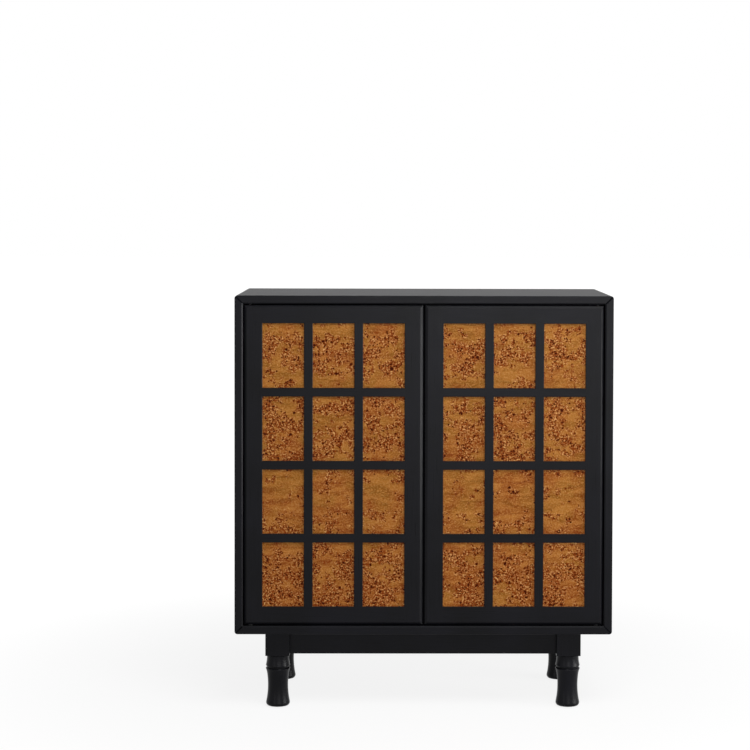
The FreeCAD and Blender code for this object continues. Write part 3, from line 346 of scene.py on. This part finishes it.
def burl_veneer(name, veneer):
    # Mappa burl, a knife-cut poplar veneer, stained amber and lacquered satin: clouds of small dark eyes
    # with rust-coloured wood and pale flecks among them, and plain ground between with fine level streaks.
    made, tree, shader, place = new_material(name, {"Specular IOR Level": LACQUER})
    parts = add(tree, "ShaderNodeSeparateXYZ", {0: place}).outputs
    flat = add(tree, "ShaderNodeCombineXYZ", {"X": parts["X"], "Y": parts["Z"]})
    warped = flat
    for size, reach in SWIRLS:
        swirl = add(tree, "ShaderNodeTexNoise", {"Vector": flat, "Scale": 1 / size, "Detail": 2})
        push = add(tree, "ShaderNodeVectorMath", {0: swirl.outputs["Color"], 1: (0.5, 0.5, 0.5)},
                   operation="SUBTRACT")
        warped = add(tree, "ShaderNodeVectorMath", {0: push, 1: (reach, reach, 0), 2: warped},
                     operation="MULTIPLY_ADD")

    # How thickly the eyes lie: by bands up the leaf, then by clouds and by clumps in them
    low, high = EYE_BANDS[0][0], EYE_BANDS[-1][0]
    level = add(tree, "ShaderNodeMapRange", {"Value": parts["Z"], "From Min": low, "From Max": high})
    sway = add(tree, "ShaderNodeTexNoise", {"Vector": flat, "Scale": MM / veneer.cluster / 2, "Detail": 1})
    swayed = add(tree, "ShaderNodeMath", {0: sway, 1: BAND_SWAY, 2: level}, operation="MULTIPLY_ADD")
    swayed = add(tree, "ShaderNodeMath", {0: swayed, 1: BAND_SWAY / 2}, operation="SUBTRACT")
    bands = add(tree, "ShaderNodeValToRGB", {0: swayed})
    stops = bands.color_ramp.elements
    while len(stops) < len(EYE_BANDS):
        stops.new(0.5)
    for stop, (height, thick) in zip(stops, EYE_BANDS):
        stop.position = (height - low) / (high - low)
        stop.color = (thick, thick, thick, 1)
    total = bands
    for size, reach in ((veneer.cluster / MM, CLOUD_REACH), (veneer.clump / MM, CLUMP_REACH)):
        cloud = add(tree, "ShaderNodeTexNoise",
                    {"Vector": warped, "Scale": 1 / size, "Detail": 2, "Roughness": 0.55})
        cloudy = add(tree, "ShaderNodeMapRange",
                     {"Value": cloud, "From Min": 0.3, "From Max": 0.7, "To Min": -reach, "To Max": reach})
        total = add(tree, "ShaderNodeMath", {0: total, 1: cloudy}, operation="ADD")
    density = add(tree, "ShaderNodeMapRange", {"Value": total, "From Min": 0.3, "From Max": 0.8},
                  interpolation_type="SMOOTHSTEP")

    # Plain ground: ochre to russet, with pale level streaks
    layer = (1 / STREAK[0], 1 / STREAK[1], 0)
    layers = add(tree, "ShaderNodeVectorMath", {0: warped, 1: layer}, operation="MULTIPLY")
    fibre = add(tree, "ShaderNodeTexNoise",
                {"Vector": layers, "Scale": 1, "Detail": 5, "Roughness": 0.55, "Distortion": 0.5})
    hue = add(tree, "ShaderNodeTexNoise", {"Vector": warped, "Scale": 1 / HUE_PATCH, "Detail": 2})
    hue = add(tree, "ShaderNodeMath", {0: level, 1: HUE_RISE, 2: hue}, operation="MULTIPLY_ADD")
    redder = add(tree, "ShaderNodeMapRange", {"Value": hue, "From Min": 0.33, "From Max": 0.5})
    ground = add(tree, "ShaderNodeMix", {"Factor": redder, "A": veneer.ochre, "B": veneer.russet},
                 data_type="RGBA")
    paler = add(tree, "ShaderNodeMapRange",
                {"Value": fibre, "From Min": 0.40, "From Max": 0.66, "To Max": 0.66})
    ground = add(tree, "ShaderNodeMix", {"Factor": paler, "A": ground, "B": veneer.pale}, data_type="RGBA")
    steps = add(tree, "ShaderNodeMath", {0: fibre, 1: STREAK_STEPS}, operation="MULTIPLY")
    edges = add(tree, "ShaderNodeMath", {0: steps, 1: 0.5}, operation="PINGPONG")
    line = add(tree, "ShaderNodeMapRange", {"Value": edges, "From Max": 0.14, "To Min": 0.68, "To Max": 0})
    ground = add(tree, "ShaderNodeMix", {"Factor": line, "A": ground, "B": veneer.pale}, data_type="RGBA")

    # Where eyes gather: rust-coloured wood with pale flecks
    speckle = add(tree, "ShaderNodeTexNoise",
                  {"Vector": warped, "Scale": 1 / SPECKLE, "Detail": 2, "Roughness": 0.6})
    fleck = add(tree, "ShaderNodeMapRange", {"Value": speckle, "From Min": 0.46, "From Max": 0.63})
    flecked = add(tree, "ShaderNodeMix", {"Factor": fleck, "A": veneer.rust, "B": veneer.gold},
                  data_type="RGBA")
    rusty = add(tree, "ShaderNodeMapRange", {"Value": density, "To Min": 0.2, "To Max": 0.85})
    ground = add(tree, "ShaderNodeMix", {"Factor": rusty, "A": ground, "B": flecked}, data_type="RGBA")

    # The eyes themselves: small ones, and half as thickly large ones, each with a rust-coloured halo
    spacing, radius = veneer.eye_spacing / MM, veneer.eye_radius / MM
    small = eyes(tree, warped, spacing, radius, density)
    sparse = add(tree, "ShaderNodeMath", {0: density, 1: 0.5}, operation="MULTIPLY")
    large = eyes(tree, warped, LARGE_EYE[0] * spacing, LARGE_EYE[1] * radius, sparse)
    dark = add(tree, "ShaderNodeMath", {0: small, 1: large}, operation="MAXIMUM")
    halo = add(tree, "ShaderNodeMapRange", {"Value": dark, "From Min": 0.05, "From Max": 0.45, "To Max": 0.9})
    heart = add(tree, "ShaderNodeMapRange", {"Value": dark, "From Min": 0.42, "From Max": 0.8})
    colour = add(tree, "ShaderNodeMix", {"Factor": halo, "A": ground, "B": veneer.rust}, data_type="RGBA")
    colour = add(tree, "ShaderNodeMix", {"Factor": heart, "A": colour, "B": veneer.eye}, data_type="RGBA")
    sheen = add(tree, "ShaderNodeMapRange", {"Value": dark, "To Min": 0.32, "To Max": 0.42})
    relief = add(tree, "ShaderNodeMath", {0: fibre, 1: dark}, operation="SUBTRACT")
    cover(tree, shader, colour, sheen, relief, strength=0.1, depth=0.15)
    return made


def planed_wood(name, axis, pale, deep, flecks, roughness):
    # Planed wood, bare or stained: straight grain along the piece and short dark ray flecks.
    made, tree, shader, place = new_material(name, {"Specular IOR Level": BARE})
    scale, dash = [1 / GRAIN[0]] * 3, [1 / RAY[0]] * 3
    scale["XYZ".index(axis)], dash["XYZ".index(axis)] = 1 / GRAIN[1], 1 / RAY[1]
    grain = add(tree, "ShaderNodeVectorMath", {0: place, 1: scale}, operation="MULTIPLY")
    lines = add(tree, "ShaderNodeTexNoise", {"Vector": grain, "Scale": 1, "Detail": 4, "Distortion": 0.5})
    share = add(tree, "ShaderNodeMapRange", {"Value": lines, "From Min": 0.3, "From Max": 0.7})
    colour = add(tree, "ShaderNodeMix", {"Factor": share, "A": linear(deep), "B": linear(pale)},
                 data_type="RGBA")
    dashes = add(tree, "ShaderNodeVectorMath", {0: place, 1: dash}, operation="MULTIPLY")
    rays = add(tree, "ShaderNodeTexNoise", {"Vector": dashes, "Scale": 1, "Detail": 1})
    ray = add(tree, "ShaderNodeMapRange", {"Value": rays, "From Min": 0.62, "From Max": 0.72, "To Max": 0.6})
    colour = add(tree, "ShaderNodeMix", {"Factor": ray, "A": colour, "B": linear(flecks)}, data_type="RGBA")
    sheen = add(tree, "ShaderNodeMapRange",
                {"Value": lines, "To Min": roughness - 0.06, "To Max": roughness + 0.06})
    cover(tree, shader, colour, sheen, lines, strength=0.2, depth=0.2)
    return made


def metal(name, clean, worn, roughness, spacing, stretch=(1, 1, 1)):
    # Plated, brushed or turned metal: a steady colour, its sheen broken up by the marks of its making.
    made, tree, shader, place = new_material(name, {"Metallic": 1.0})
    scale = [share / spacing for share in stretch]
    marks = add(tree, "ShaderNodeVectorMath", {0: place, 1: scale}, operation="MULTIPLY")
    noise = add(tree, "ShaderNodeTexNoise", {"Vector": marks, "Scale": 1, "Detail": 3})
    colour = add(tree, "ShaderNodeMix", {"Factor": noise, "A": linear(worn), "B": linear(clean)},
                 data_type="RGBA")
    sheen = add(tree, "ShaderNodeMapRange",
                {"Value": noise, "From Min": 0.3, "From Max": 0.7,
                 "To Min": roughness - 0.08, "To Max": roughness + 0.08})
    cover(tree, shader, colour, sheen, noise, strength=0.08, depth=0.05)
    return made


def moulded(name, clean, scuffed, roughness):
    # Injection-moulded plastic: an even colour with the fine spark-eroded texture of its mould,
    # drawn 0.8 mm coarse so that it shows.
    made, tree, shader, place = new_material(name, {"Specular IOR Level": MOULD})
    grit = add(tree, "ShaderNodeTexNoise", {"Vector": place, "Scale": 1 / MOULD_GRIT, "Detail": 2})
    colour = add(tree, "ShaderNodeMix", {"Factor": grit, "A": linear(clean), "B": linear(scuffed)},
                 data_type="RGBA")
    sheen = add(tree, "ShaderNodeMapRange",
                {"Value": grit, "To Min": roughness - 0.1, "To Max": roughness + 0.1})
    cover(tree, shader, colour, sheen, grit, strength=0.15, depth=0.1)
    return made


def new_piece(name, mesh, body, slot, *nodes):
    """Puts a finished mesh in the scene in place of CAD nodes, on their body."""
    piece = bpy.data.objects.new(name, mesh)
    bpy.context.scene.collection.objects.link(piece)
    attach(piece, body)
    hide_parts(*nodes)
    return piece


def veneered_panel(node, front, backing):
    """A mesh of a door panel with eased arrises, veneered on its front and backed on its other faces."""
    low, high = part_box(node)
    fitted = Matrix.Translation((low + high) / 2) @ Matrix.Diagonal((*(high - low), 1))
    shape = bmesh.new()
    bmesh.ops.create_cube(shape, size=1, matrix=fitted)
    bmesh.ops.bevel(shape, geom=shape.edges[:], offset=EASED_ARRIS, segments=2, affect="EDGES", profile=0.5)
    for face in shape.faces:
        face.material_index = 0 if face.normal.y < FACING_FRONT else 1
    mesh = bpy.data.meshes.new(f"{node}_veneered")
    shape.to_mesh(mesh)
    shape.free()
    mesh.materials.append(front)
    mesh.materials.append(backing)
    return mesh


def fixings_of(node):
    """(Head centre, direction into the wood, length, head radius) of each screw in a CAD node."""
    shape = bmesh.new()
    shape.from_mesh(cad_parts[node].data)
    bmesh.ops.remove_doubles(shape, verts=shape.verts, dist=SAME_POINT)
    found, seen = [], set()
    for start in shape.verts:
        if start in seen:
            continue
        island, waiting = [], [start]
        seen.add(start)
        while waiting:
            vert = waiting.pop()
            island.append(vert.co.copy())
            for edge in vert.link_edges:
                other = edge.other_vert(vert)
                if other not in seen:
                    seen.add(other)
                    waiting.append(other)
        low = Vector(min(point[i] for point in island) for i in range(3))
        high = Vector(max(point[i] for point in island) for i in range(3))
        middle, length = (low + high) / 2, max(high - low)
        axis = list(high - low).index(length)
        spread = {}
        for end in (low[axis], high[axis]):
            near = [point for point in island if abs(point[axis] - end) < SCREW_END]
            spread[end] = max(math.dist(point, (*middle[:axis], point[axis], *middle[axis + 1:]))
                              for point in near)
        head = max(spread, key=spread.get)
        direction = Vector((0, 0, 0))
        direction[axis] = 1 if head == low[axis] else -1
        middle[axis] = head
        found.append((middle, direction, length, spread[head]))
    shape.free()
    return found


def screw_tree(made):
    """Geometry Nodes that put a cross-head countersunk screw on every point, along its direction."""
    tree = bpy.data.node_groups.new("Cross head screws", "GeometryNodeTree")
    tree.interface.new_socket("Geometry", in_out="INPUT", socket_type="NodeSocketGeometry")
    for name in ("Head Radius", "Head Height", "Shank Radius", "Length",
                 "Cross Width", "Cross Length", "Cross Depth"):
        tree.interface.new_socket(name, in_out="INPUT", socket_type="NodeSocketFloat")
    tree.interface.new_socket("Geometry", in_out="OUTPUT", socket_type="NodeSocketGeometry")
    given = add(tree, "NodeGroupInput").outputs
    head = add(tree, "GeometryNodeMeshCone",
               {"Vertices": HEAD_SIDES, "Radius Top": given["Shank Radius"],
                "Radius Bottom": given["Head Radius"], "Depth": given["Head Height"]})
    wide, narrow, deep = given["Cross Length"], given["Cross Width"], given["Cross Depth"]
    recess = add(tree, "GeometryNodeMeshBoolean", {"Mesh 1": head}, operation="DIFFERENCE", solver="EXACT")
    for across, over in ((wide, narrow), (narrow, wide)):
        size = add(tree, "ShaderNodeCombineXYZ", {"X": across, "Y": over, "Z": deep})
        arm = add(tree, "GeometryNodeMeshCube", {"Size": size})
        tree.links.new(in_use(arm.outputs), recess.inputs["Mesh 2"])
    rest = add(tree, "ShaderNodeMath", {0: given["Length"], 1: given["Head Height"]}, operation="SUBTRACT")
    shank = add(tree, "GeometryNodeMeshCylinder",
                {"Vertices": SHANK_SIDES, "Radius": given["Shank Radius"], "Depth": rest})
    ends = add(tree, "ShaderNodeMath", {0: given["Length"], 1: given["Head Height"]}, operation="ADD")
    half = add(tree, "ShaderNodeMath", {0: ends, 1: 0.5}, operation="MULTIPLY")
    lift = add(tree, "ShaderNodeCombineXYZ", {"Z": half})
    moved = add(tree, "GeometryNodeTransform", {"Geometry": shank, "Translation": lift})
    screw = add(tree, "GeometryNodeJoinGeometry", {0: moved})
    tree.links.new(recess.outputs["Mesh"], screw.inputs[0])
    facing = add(tree, "GeometryNodeInputNamedAttribute", {"Name": "direction"}, data_type="FLOAT_VECTOR")
    turned = add(tree, "FunctionNodeAlignRotationToVector", {"Vector": facing}, axis="Z")
    placed = add(tree, "GeometryNodeInstanceOnPoints",
                 {"Points": given["Geometry"], "Instance": screw, "Rotation": turned})
    real = add(tree, "GeometryNodeRealizeInstances", {0: placed})
    plated = add(tree, "GeometryNodeSetMaterial", {"Geometry": real, "Material": made})
    add(tree, "NodeGroupOutput", {0: plated})
    return tree


def grown(name, start, tree, values):
    """The plain mesh that Geometry Nodes with these values make from a starting mesh."""
    holder = bpy.data.objects.new(name, start)
    bpy.context.scene.collection.objects.link(holder)
    nodes = holder.modifiers.new("Grown", "NODES")
    nodes.node_group = tree
    for socket in tree.interface.items_tree:
        if socket.in_out == "INPUT" and socket.name in values:
            nodes[socket.identifier] = values[socket.name]
    mesh = bpy.data.meshes.new_from_object(holder.evaluated_get(bpy.context.evaluated_depsgraph_get()))
    bpy.data.objects.remove(holder)
    if not mesh.polygons:
        raise RuntimeError(f"nothing was made for {name}")
    while None in mesh.materials[:]:
        mesh.materials.pop(index=mesh.materials[:].index(None))
    return mesh


def screws_for(node, tree, fixings):
    """A plain mesh of the screws of one CAD node, which are all of one size."""
    found = fixings_of(node)
    points = bpy.data.meshes.new(f"{node}_places")
    points.from_pydata([place for place, *_ in found], [], [])
    facing = points.attributes.new("direction", "FLOAT_VECTOR", "POINT")
    for item, (_, direction, *_) in zip(facing.data, found):
        item.vector = direction
    length, head_radius = found[0][2:]
    return grown(f"{node}_places", points, tree, {
        "Head Radius": head_radius, "Head Height": fixings.head_height, "Shank Radius": fixings.shank_radius,
        "Length": length, "Cross Width": fixings.cross_width, "Cross Length": fixings.cross_length,
        "Cross Depth": 2 * fixings.cross_depth})


def spring_tree(made):
    """Geometry Nodes that wind a compression spring along Z from the origin, its end turns closed."""
    tree = bpy.data.node_groups.new("Latch spring", "GeometryNodeTree")
    for name in ("Coil Radius", "Wire Radius", "Length", "Turns"):
        tree.interface.new_socket(name, in_out="INPUT", socket_type="NodeSocketFloat")
    tree.interface.new_socket("Geometry", in_out="OUTPUT", socket_type="NodeSocketGeometry")
    given = add(tree, "NodeGroupInput").outputs
    turns = given["Turns"]
    coil = add(tree, "GeometryNodeCurveSpiral",
               {"Resolution": STEPS_PER_TURN, "Rotations": turns, "Start Radius": given["Coil Radius"],
                "End Radius": given["Coil Radius"], "Height": 0})
    along = add(tree, "GeometryNodeSplineParameter")
    turn = add(tree, "ShaderNodeMath", {0: along, 1: turns}, operation="MULTIPLY")
    before_last = add(tree, "ShaderNodeMath", {0: turns, 1: 1}, operation="SUBTRACT")
    closed = add(tree, "ShaderNodeMath", {0: given["Wire Radius"], 1: 2 * CLOSED_TURN}, operation="MULTIPLY")
    opened = add(tree, "ShaderNodeMath", {0: closed, 1: -2, 2: given["Length"]}, operation="MULTIPLY_ADD")
    rise = 0
    for first, last, reach in ((0, 1, closed), (1, before_last, opened), (before_last, turns, closed)):
        part = add(tree, "ShaderNodeMapRange",
                   {"Value": turn, "From Min": first, "From Max": last, "To Max": reach})
        rise = add(tree, "ShaderNodeMath", {0: part, 1: rise}, operation="ADD")
    lift = add(tree, "ShaderNodeCombineXYZ", {"Z": rise})
    wound = add(tree, "GeometryNodeSetPosition", {"Geometry": coil, "Offset": lift})
    section = add(tree, "GeometryNodeCurvePrimitiveCircle",
                  {"Resolution": WIRE_SIDES, "Radius": given["Wire Radius"]})
    wire = add(tree, "GeometryNodeCurveToMesh", {"Curve": wound, "Profile Curve": section, "Fill Caps": True})
    real = add(tree, "GeometryNodeRealizeInstances", {0: wire})
    plated = add(tree, "GeometryNodeSetMaterial", {"Geometry": real, "Material": made})
    add(tree, "NodeGroupOutput", {0: plated})
    return tree


def wound_spring(node, tree, fixings):
    """A plain mesh of the spring that lies along Y in the box of one CAD node."""
    low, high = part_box(node)
    wire = fixings.spring_wire
    mesh = grown(f"{node}_place", bpy.data.meshes.new(f"{node}_place"), tree, {
        "Coil Radius": (high.x - low.x - wire) / 2, "Wire Radius": wire / 2,
        "Length": high.y - low.y - wire, "Turns": fixings.spring_turns})
    start = Vector(((low.x + high.x) / 2, low.y + wire / 2, (low.z + high.z) / 2))
    mesh.transform(Matrix.Translation(start) @ Matrix.Rotation(-math.pi / 2, 4, "X"))
    return mesh


class CABINET_OT_paint(bpy.types.Operator):
    """Paints the case, the door frames with their grilles, and the base"""
    bl_idname = "cabinet.paint"
    bl_label = "Paint the woodwork"

    def execute(self, context):
        paint = context.scene.cabinet_paint
        for axis, names in (("X", ALONG_X), ("Y", ALONG_Y), ("Z", ALONG_Z)):
            made = black_paint(f"Black_satin_paint_on_wood_{axis}", axis, paint, paint.roughness, SATIN)
            finish(names, made)
        made = black_paint("Black_satin_paint_on_top_board", "X", paint, paint.roughness, SATIN,
                           wear=paint.top_wear)
        finish([TOP], made)
        for axis, names in (("X", INSIDE_X), ("Z", INSIDE_Z)):
            made = black_paint(f"Black_matt_paint_inside_{axis}", axis, paint, paint.inside_roughness, MATT)
            finish(names, made)
        return {"FINISHED"}


class CABINET_OT_veneer(bpy.types.Operator):
    """Makes the door panels, veneered on the front"""
    bl_idname = "cabinet.veneer"
    bl_label = "Veneer the door panels"

    def execute(self, context):
        front = burl_veneer("Mappa_burl_veneer_lacquered", context.scene.cabinet_veneer)
        # Plain sliced veneer, stained black: matt, its upright grain just to be made out
        backing = planed_wood("Stained_backing_veneer", "Z", pale="1B1817", deep="110F0E", flecks="0B0A0A",
                              roughness=0.52)
        for side in SIDES:
            node = f"door_{side}_burl_panel"
            mesh = veneered_panel(node, front, backing)
            new_piece(f"door_{side}_veneered_panel", mesh, f"door_{side}", "burl_veneer", node)
        return {"FINISHED"}


class CABINET_OT_joinery(bpy.types.Operator):
    """Finishes the back panel, the tongues in the mitres and the cleats"""
    bl_idname = "cabinet.joinery"
    bl_label = "Finish the hidden joinery"

    def execute(self, context):
        # Plywood, stained thinly black: matt and slightly brown, with its grain upright
        finish(["back_panel"], planed_wood("Stained_plywood_black", "Z", pale="262322", deep="141211",
                                           flecks="0C0B0B", roughness=0.62))
        # Beech straight from the planer: pale pinkish brown with short dark flecks
        finish(["mitre_splines", "cleat_front", "cleat_back"],
               planed_wood("Planed_beech_bare", "X", pale="CDA77A", deep="B98E60", flecks="8E6541",
                           roughness=0.58))
        return {"FINISHED"}


class CABINET_OT_screws(bpy.types.Operator):
    """Puts cross-head screws in place of the plain ones"""
    bl_idname = "cabinet.screws"
    bl_label = "Fit the screws"

    def execute(self, context):
        fixings = context.scene.cabinet_fixings
        # Zinc plate over turned steel: cool light grey, clouded
        zinc = metal("Zinc_plated_steel", clean="C7CACF", worn="A9ADB2", roughness=0.34, spacing=1.5)
        tree = screw_tree(zinc)
        homes = {"back_screws": "case", "cleat_screws": "case", "latch_screws": "case",
                 "door_left_strike_screw": "door_left", "door_right_strike_screw": "door_right"}
        for node, body in homes.items():
            new_piece(f"{node}_cross_head", screws_for(node, tree, fixings), body, "zinc_steel", node)
        return {"FINISHED"}


class CABINET_OT_springs(bpy.types.Operator):
    """Winds the latch springs"""
    bl_idname = "cabinet.springs"
    bl_label = "Wind the latch springs"

    def execute(self, context):
        # Drawn wire, zinc plated: cool grey and shiny, with faint marks of the die
        zinc = metal("Zinc_plated_spring_wire", clean="C7CACF", worn="9DA1A6", roughness=0.3, spacing=0.5,
                     stretch=(1, 0.2, 1))
        tree = spring_tree(zinc)
        for side in SIDES:
            node, joint = f"latch_spring_{side}", f"latch_{side}_press"
            mesh = wound_spring(node, tree, context.scene.cabinet_fixings)
            piece = new_piece(f"{node}_coil", mesh, "case", "zinc_steel", node)
            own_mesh(piece)
        return {"FINISHED"}


class CABINET_OT_fittings(bpy.types.Operator):
    """Finishes the pivots, latches, shelf pins and glides"""
    bl_idname = "cabinet.fittings"
    bl_label = "Finish the fittings"

    def execute(self, context):
        # Steel, brushed along the plates, blackened and oiled: dark grey with a soft drawn-out sheen
        black = metal("Blackened_steel_oiled", clean="2C2C2E", worn="1C1C1D", roughness=0.42, spacing=0.7,
                      stretch=(0.02, 1, 1))
        finish(["pivot_plates", "pivot_pins"], black)
        screws = screws_for("pivot_screws", screw_tree(black), context.scene.cabinet_fixings)
        new_piece("pivot_screws_cross_head", screws, "case", "pivot_steel", "pivot_screws")
        # Nickel plate, barrelled: warm and bright, nearly a mirror
        nickel = metal("Nickel_plated_steel", clean="D2CCC0", worn="BDB6A8", roughness=0.22, spacing=2)
        finish(["shelf_pins", *both("latch_magnet_*", "door_*_strike_plate")], nickel)
        # Brass from the lathe: yellow, with fine rings round the bush
        brass = metal("Turned_brass", clean="C9A455", worn="A8823A", roughness=0.3, spacing=0.6,
                      stretch=(1, 1, 0.1))
        finish(both("door_*_pivot_bushes"), brass)
        # Black nylon is a little greyer and duller than the black ABS of the latches
        nylon = moulded("Moulded_nylon_black", clean="141415", scuffed="202021", roughness=0.5)
        finish(["pivot_washers", "foot_glides"], nylon)
        plastic = moulded("Moulded_ABS_black", clean="101011", scuffed="1C1C1D", roughness=0.46)
        finish(both("latch_housing_*", "latch_plunger_*"), plastic)
        return {"FINISHED"}


def seen_directly(tree):
    """1 for light on its way to the camera straight, by a reflection or through glass, else 0."""
    path = add(tree, "ShaderNodeLightPath").outputs
    seen = add(tree, "ShaderNodeMath", {0: path["Is Camera Ray"], 1: path["Is Glossy Ray"]},
               operation="MAXIMUM")
    return add(tree, "ShaderNodeMath", {0: seen, 1: path["Is Transmission Ray"]}, operation="MAXIMUM")


def softbox(name, power, place, aim, wide, high):
    """A rectangular lamp that stands at a place and looks at a point."""
    lamp = bpy.data.lights.new(name, "AREA")
    lamp.shape, lamp.size, lamp.size_y, lamp.energy = "RECTANGLE", wide, high, power
    made = bpy.data.objects.new(name, lamp)
    made.location = place
    made.rotation_euler = (Vector(aim) - Vector(place)).to_track_quat("-Z", "Y").to_euler()
    bpy.context.scene.collection.objects.link(made)


def pale_floor(stage):
    # Matt painted floor: white where it is lit, with the soft shadow of the cabinet left on it near the feet.
    made = bpy.data.materials.new("Matt_white_floor")
    made.use_nodes = True
    tree = made.node_tree
    tree.nodes.clear()
    lit = add(tree, "ShaderNodeBsdfDiffuse", {"Color": stage.floor})
    glow = add(tree, "ShaderNodeEmission", {"Color": stage.background, "Strength": FLOOR_GLOW})
    place = add(tree, "ShaderNodeTexCoord").outputs["Object"]
    away = add(tree, "ShaderNodeVectorMath", {0: place}, operation="LENGTH")
    share = add(tree, "ShaderNodeMapRange",
                {"Value": away.outputs["Value"], "From Min": SHADOW_NEAR, "From Max": SHADOW_FAR,
                 "To Min": SHADOW_GLOW, "To Max": 1},
                interpolation_type="SMOOTHSTEP")
    seen = add(tree, "ShaderNodeMath", {0: seen_directly(tree), 1: share}, operation="MULTIPLY")
    mixed = add(tree, "ShaderNodeMixShader", {0: seen, 1: lit, 2: glow})
    add(tree, "ShaderNodeOutputMaterial", {0: mixed})
    return made


class CABINET_OT_stage(bpy.types.Operator):
    """Makes the floor, the room, the lamps and the camera"""
    bl_idname = "cabinet.stage"
    bl_label = "Set the stage"

    def execute(self, context):
        scene, stage = context.scene, context.scene.cabinet_stage
        scene.view_settings.view_transform = "Standard"
        shape = bmesh.new()
        bmesh.ops.create_grid(shape, x_segments=1, y_segments=1, size=FLOOR_REACH)
        plane = bpy.data.meshes.new("floor")
        shape.to_mesh(plane)
        shape.free()
        plane.materials.append(pale_floor(stage))
        floor = bpy.data.objects.new("floor", plane)
        scene.collection.objects.link(floor)

        scene.world = bpy.data.worlds.new("White_room")
        scene.world.use_nodes = True
        tree = scene.world.node_tree
        tree.nodes.clear()
        dim = add(tree, "ShaderNodeBackground", {"Color": stage.background, "Strength": stage.room})
        bright = add(tree, "ShaderNodeBackground", {"Color": stage.background, "Strength": 1})
        mixed = add(tree, "ShaderNodeMixShader", {0: seen_directly(tree), 1: dim, 2: bright})
        add(tree, "ShaderNodeOutputWorld", {0: mixed})

        for name, lamp in LAMPS.items():
            softbox(f"{name}_softbox", getattr(stage, name), **lamp)

        lens = bpy.data.cameras.new("photo_camera")
        lens.sensor_width, lens.lens = SENSOR, stage.lens
        lens.shift_x, lens.shift_y = stage.shift
        camera = bpy.data.objects.new("photo_camera", lens)
        aim = Matrix.Rotation(stage.turn, 4, "Z") @ Matrix.Rotation(math.pi / 2 - stage.tilt, 4, "X")
        aim = aim @ Matrix.Rotation(stage.roll, 4, "Z")
        camera.matrix_world = Matrix.Translation(stage.camera_place) @ aim
        scene.collection.objects.link(camera)
        scene.camera = camera
        return {"FINISHED"}


GROUPS = {"cabinet_paint": CabinetPaint, "cabinet_veneer": CabinetVeneer, "cabinet_fixings": CabinetFixings,
          "cabinet_stage": CabinetStage}
OPERATORS = (CABINET_OT_paint, CABINET_OT_veneer, CABINET_OT_joinery, CABINET_OT_screws, CABINET_OT_springs,
             CABINET_OT_fittings, CABINET_OT_stage)


class CABINET_PT_dressing(bpy.types.Panel):
    """Steps of the dressing, in order, and what may be changed before them"""
    bl_idname = "CABINET_PT_dressing"
    bl_label = "Side cabinet"
    bl_space_type = "VIEW_3D"
    bl_region_type = "UI"
    bl_category = "Cabinet"

    def draw(self, context):
        for operator in OPERATORS:
            self.layout.operator(operator.bl_idname)
        for group, made in GROUPS.items():
            box = self.layout.box()
            for name in made.__annotations__:
                box.prop(getattr(context.scene, group), name)


def register():
    for made in (*GROUPS.values(), *OPERATORS, CABINET_PT_dressing):
        bpy.utils.register_class(made)
    for name, group in GROUPS.items():
        setattr(bpy.types.Scene, name, bpy.props.PointerProperty(type=group))


def unregister():
    for name in GROUPS:
        delattr(bpy.types.Scene, name)
    for made in reversed((*GROUPS.values(), *OPERATORS, CABINET_PT_dressing)):
        bpy.utils.unregister_class(made)


def main():
    register()
    bpy.ops.cabinet.paint()
    bpy.ops.cabinet.veneer()
    bpy.ops.cabinet.joinery()
    bpy.ops.cabinet.screws()
    bpy.ops.cabinet.springs()
    bpy.ops.cabinet.fittings()
    bpy.ops.cabinet.stage()


if __name__ == "__main__":
    main()
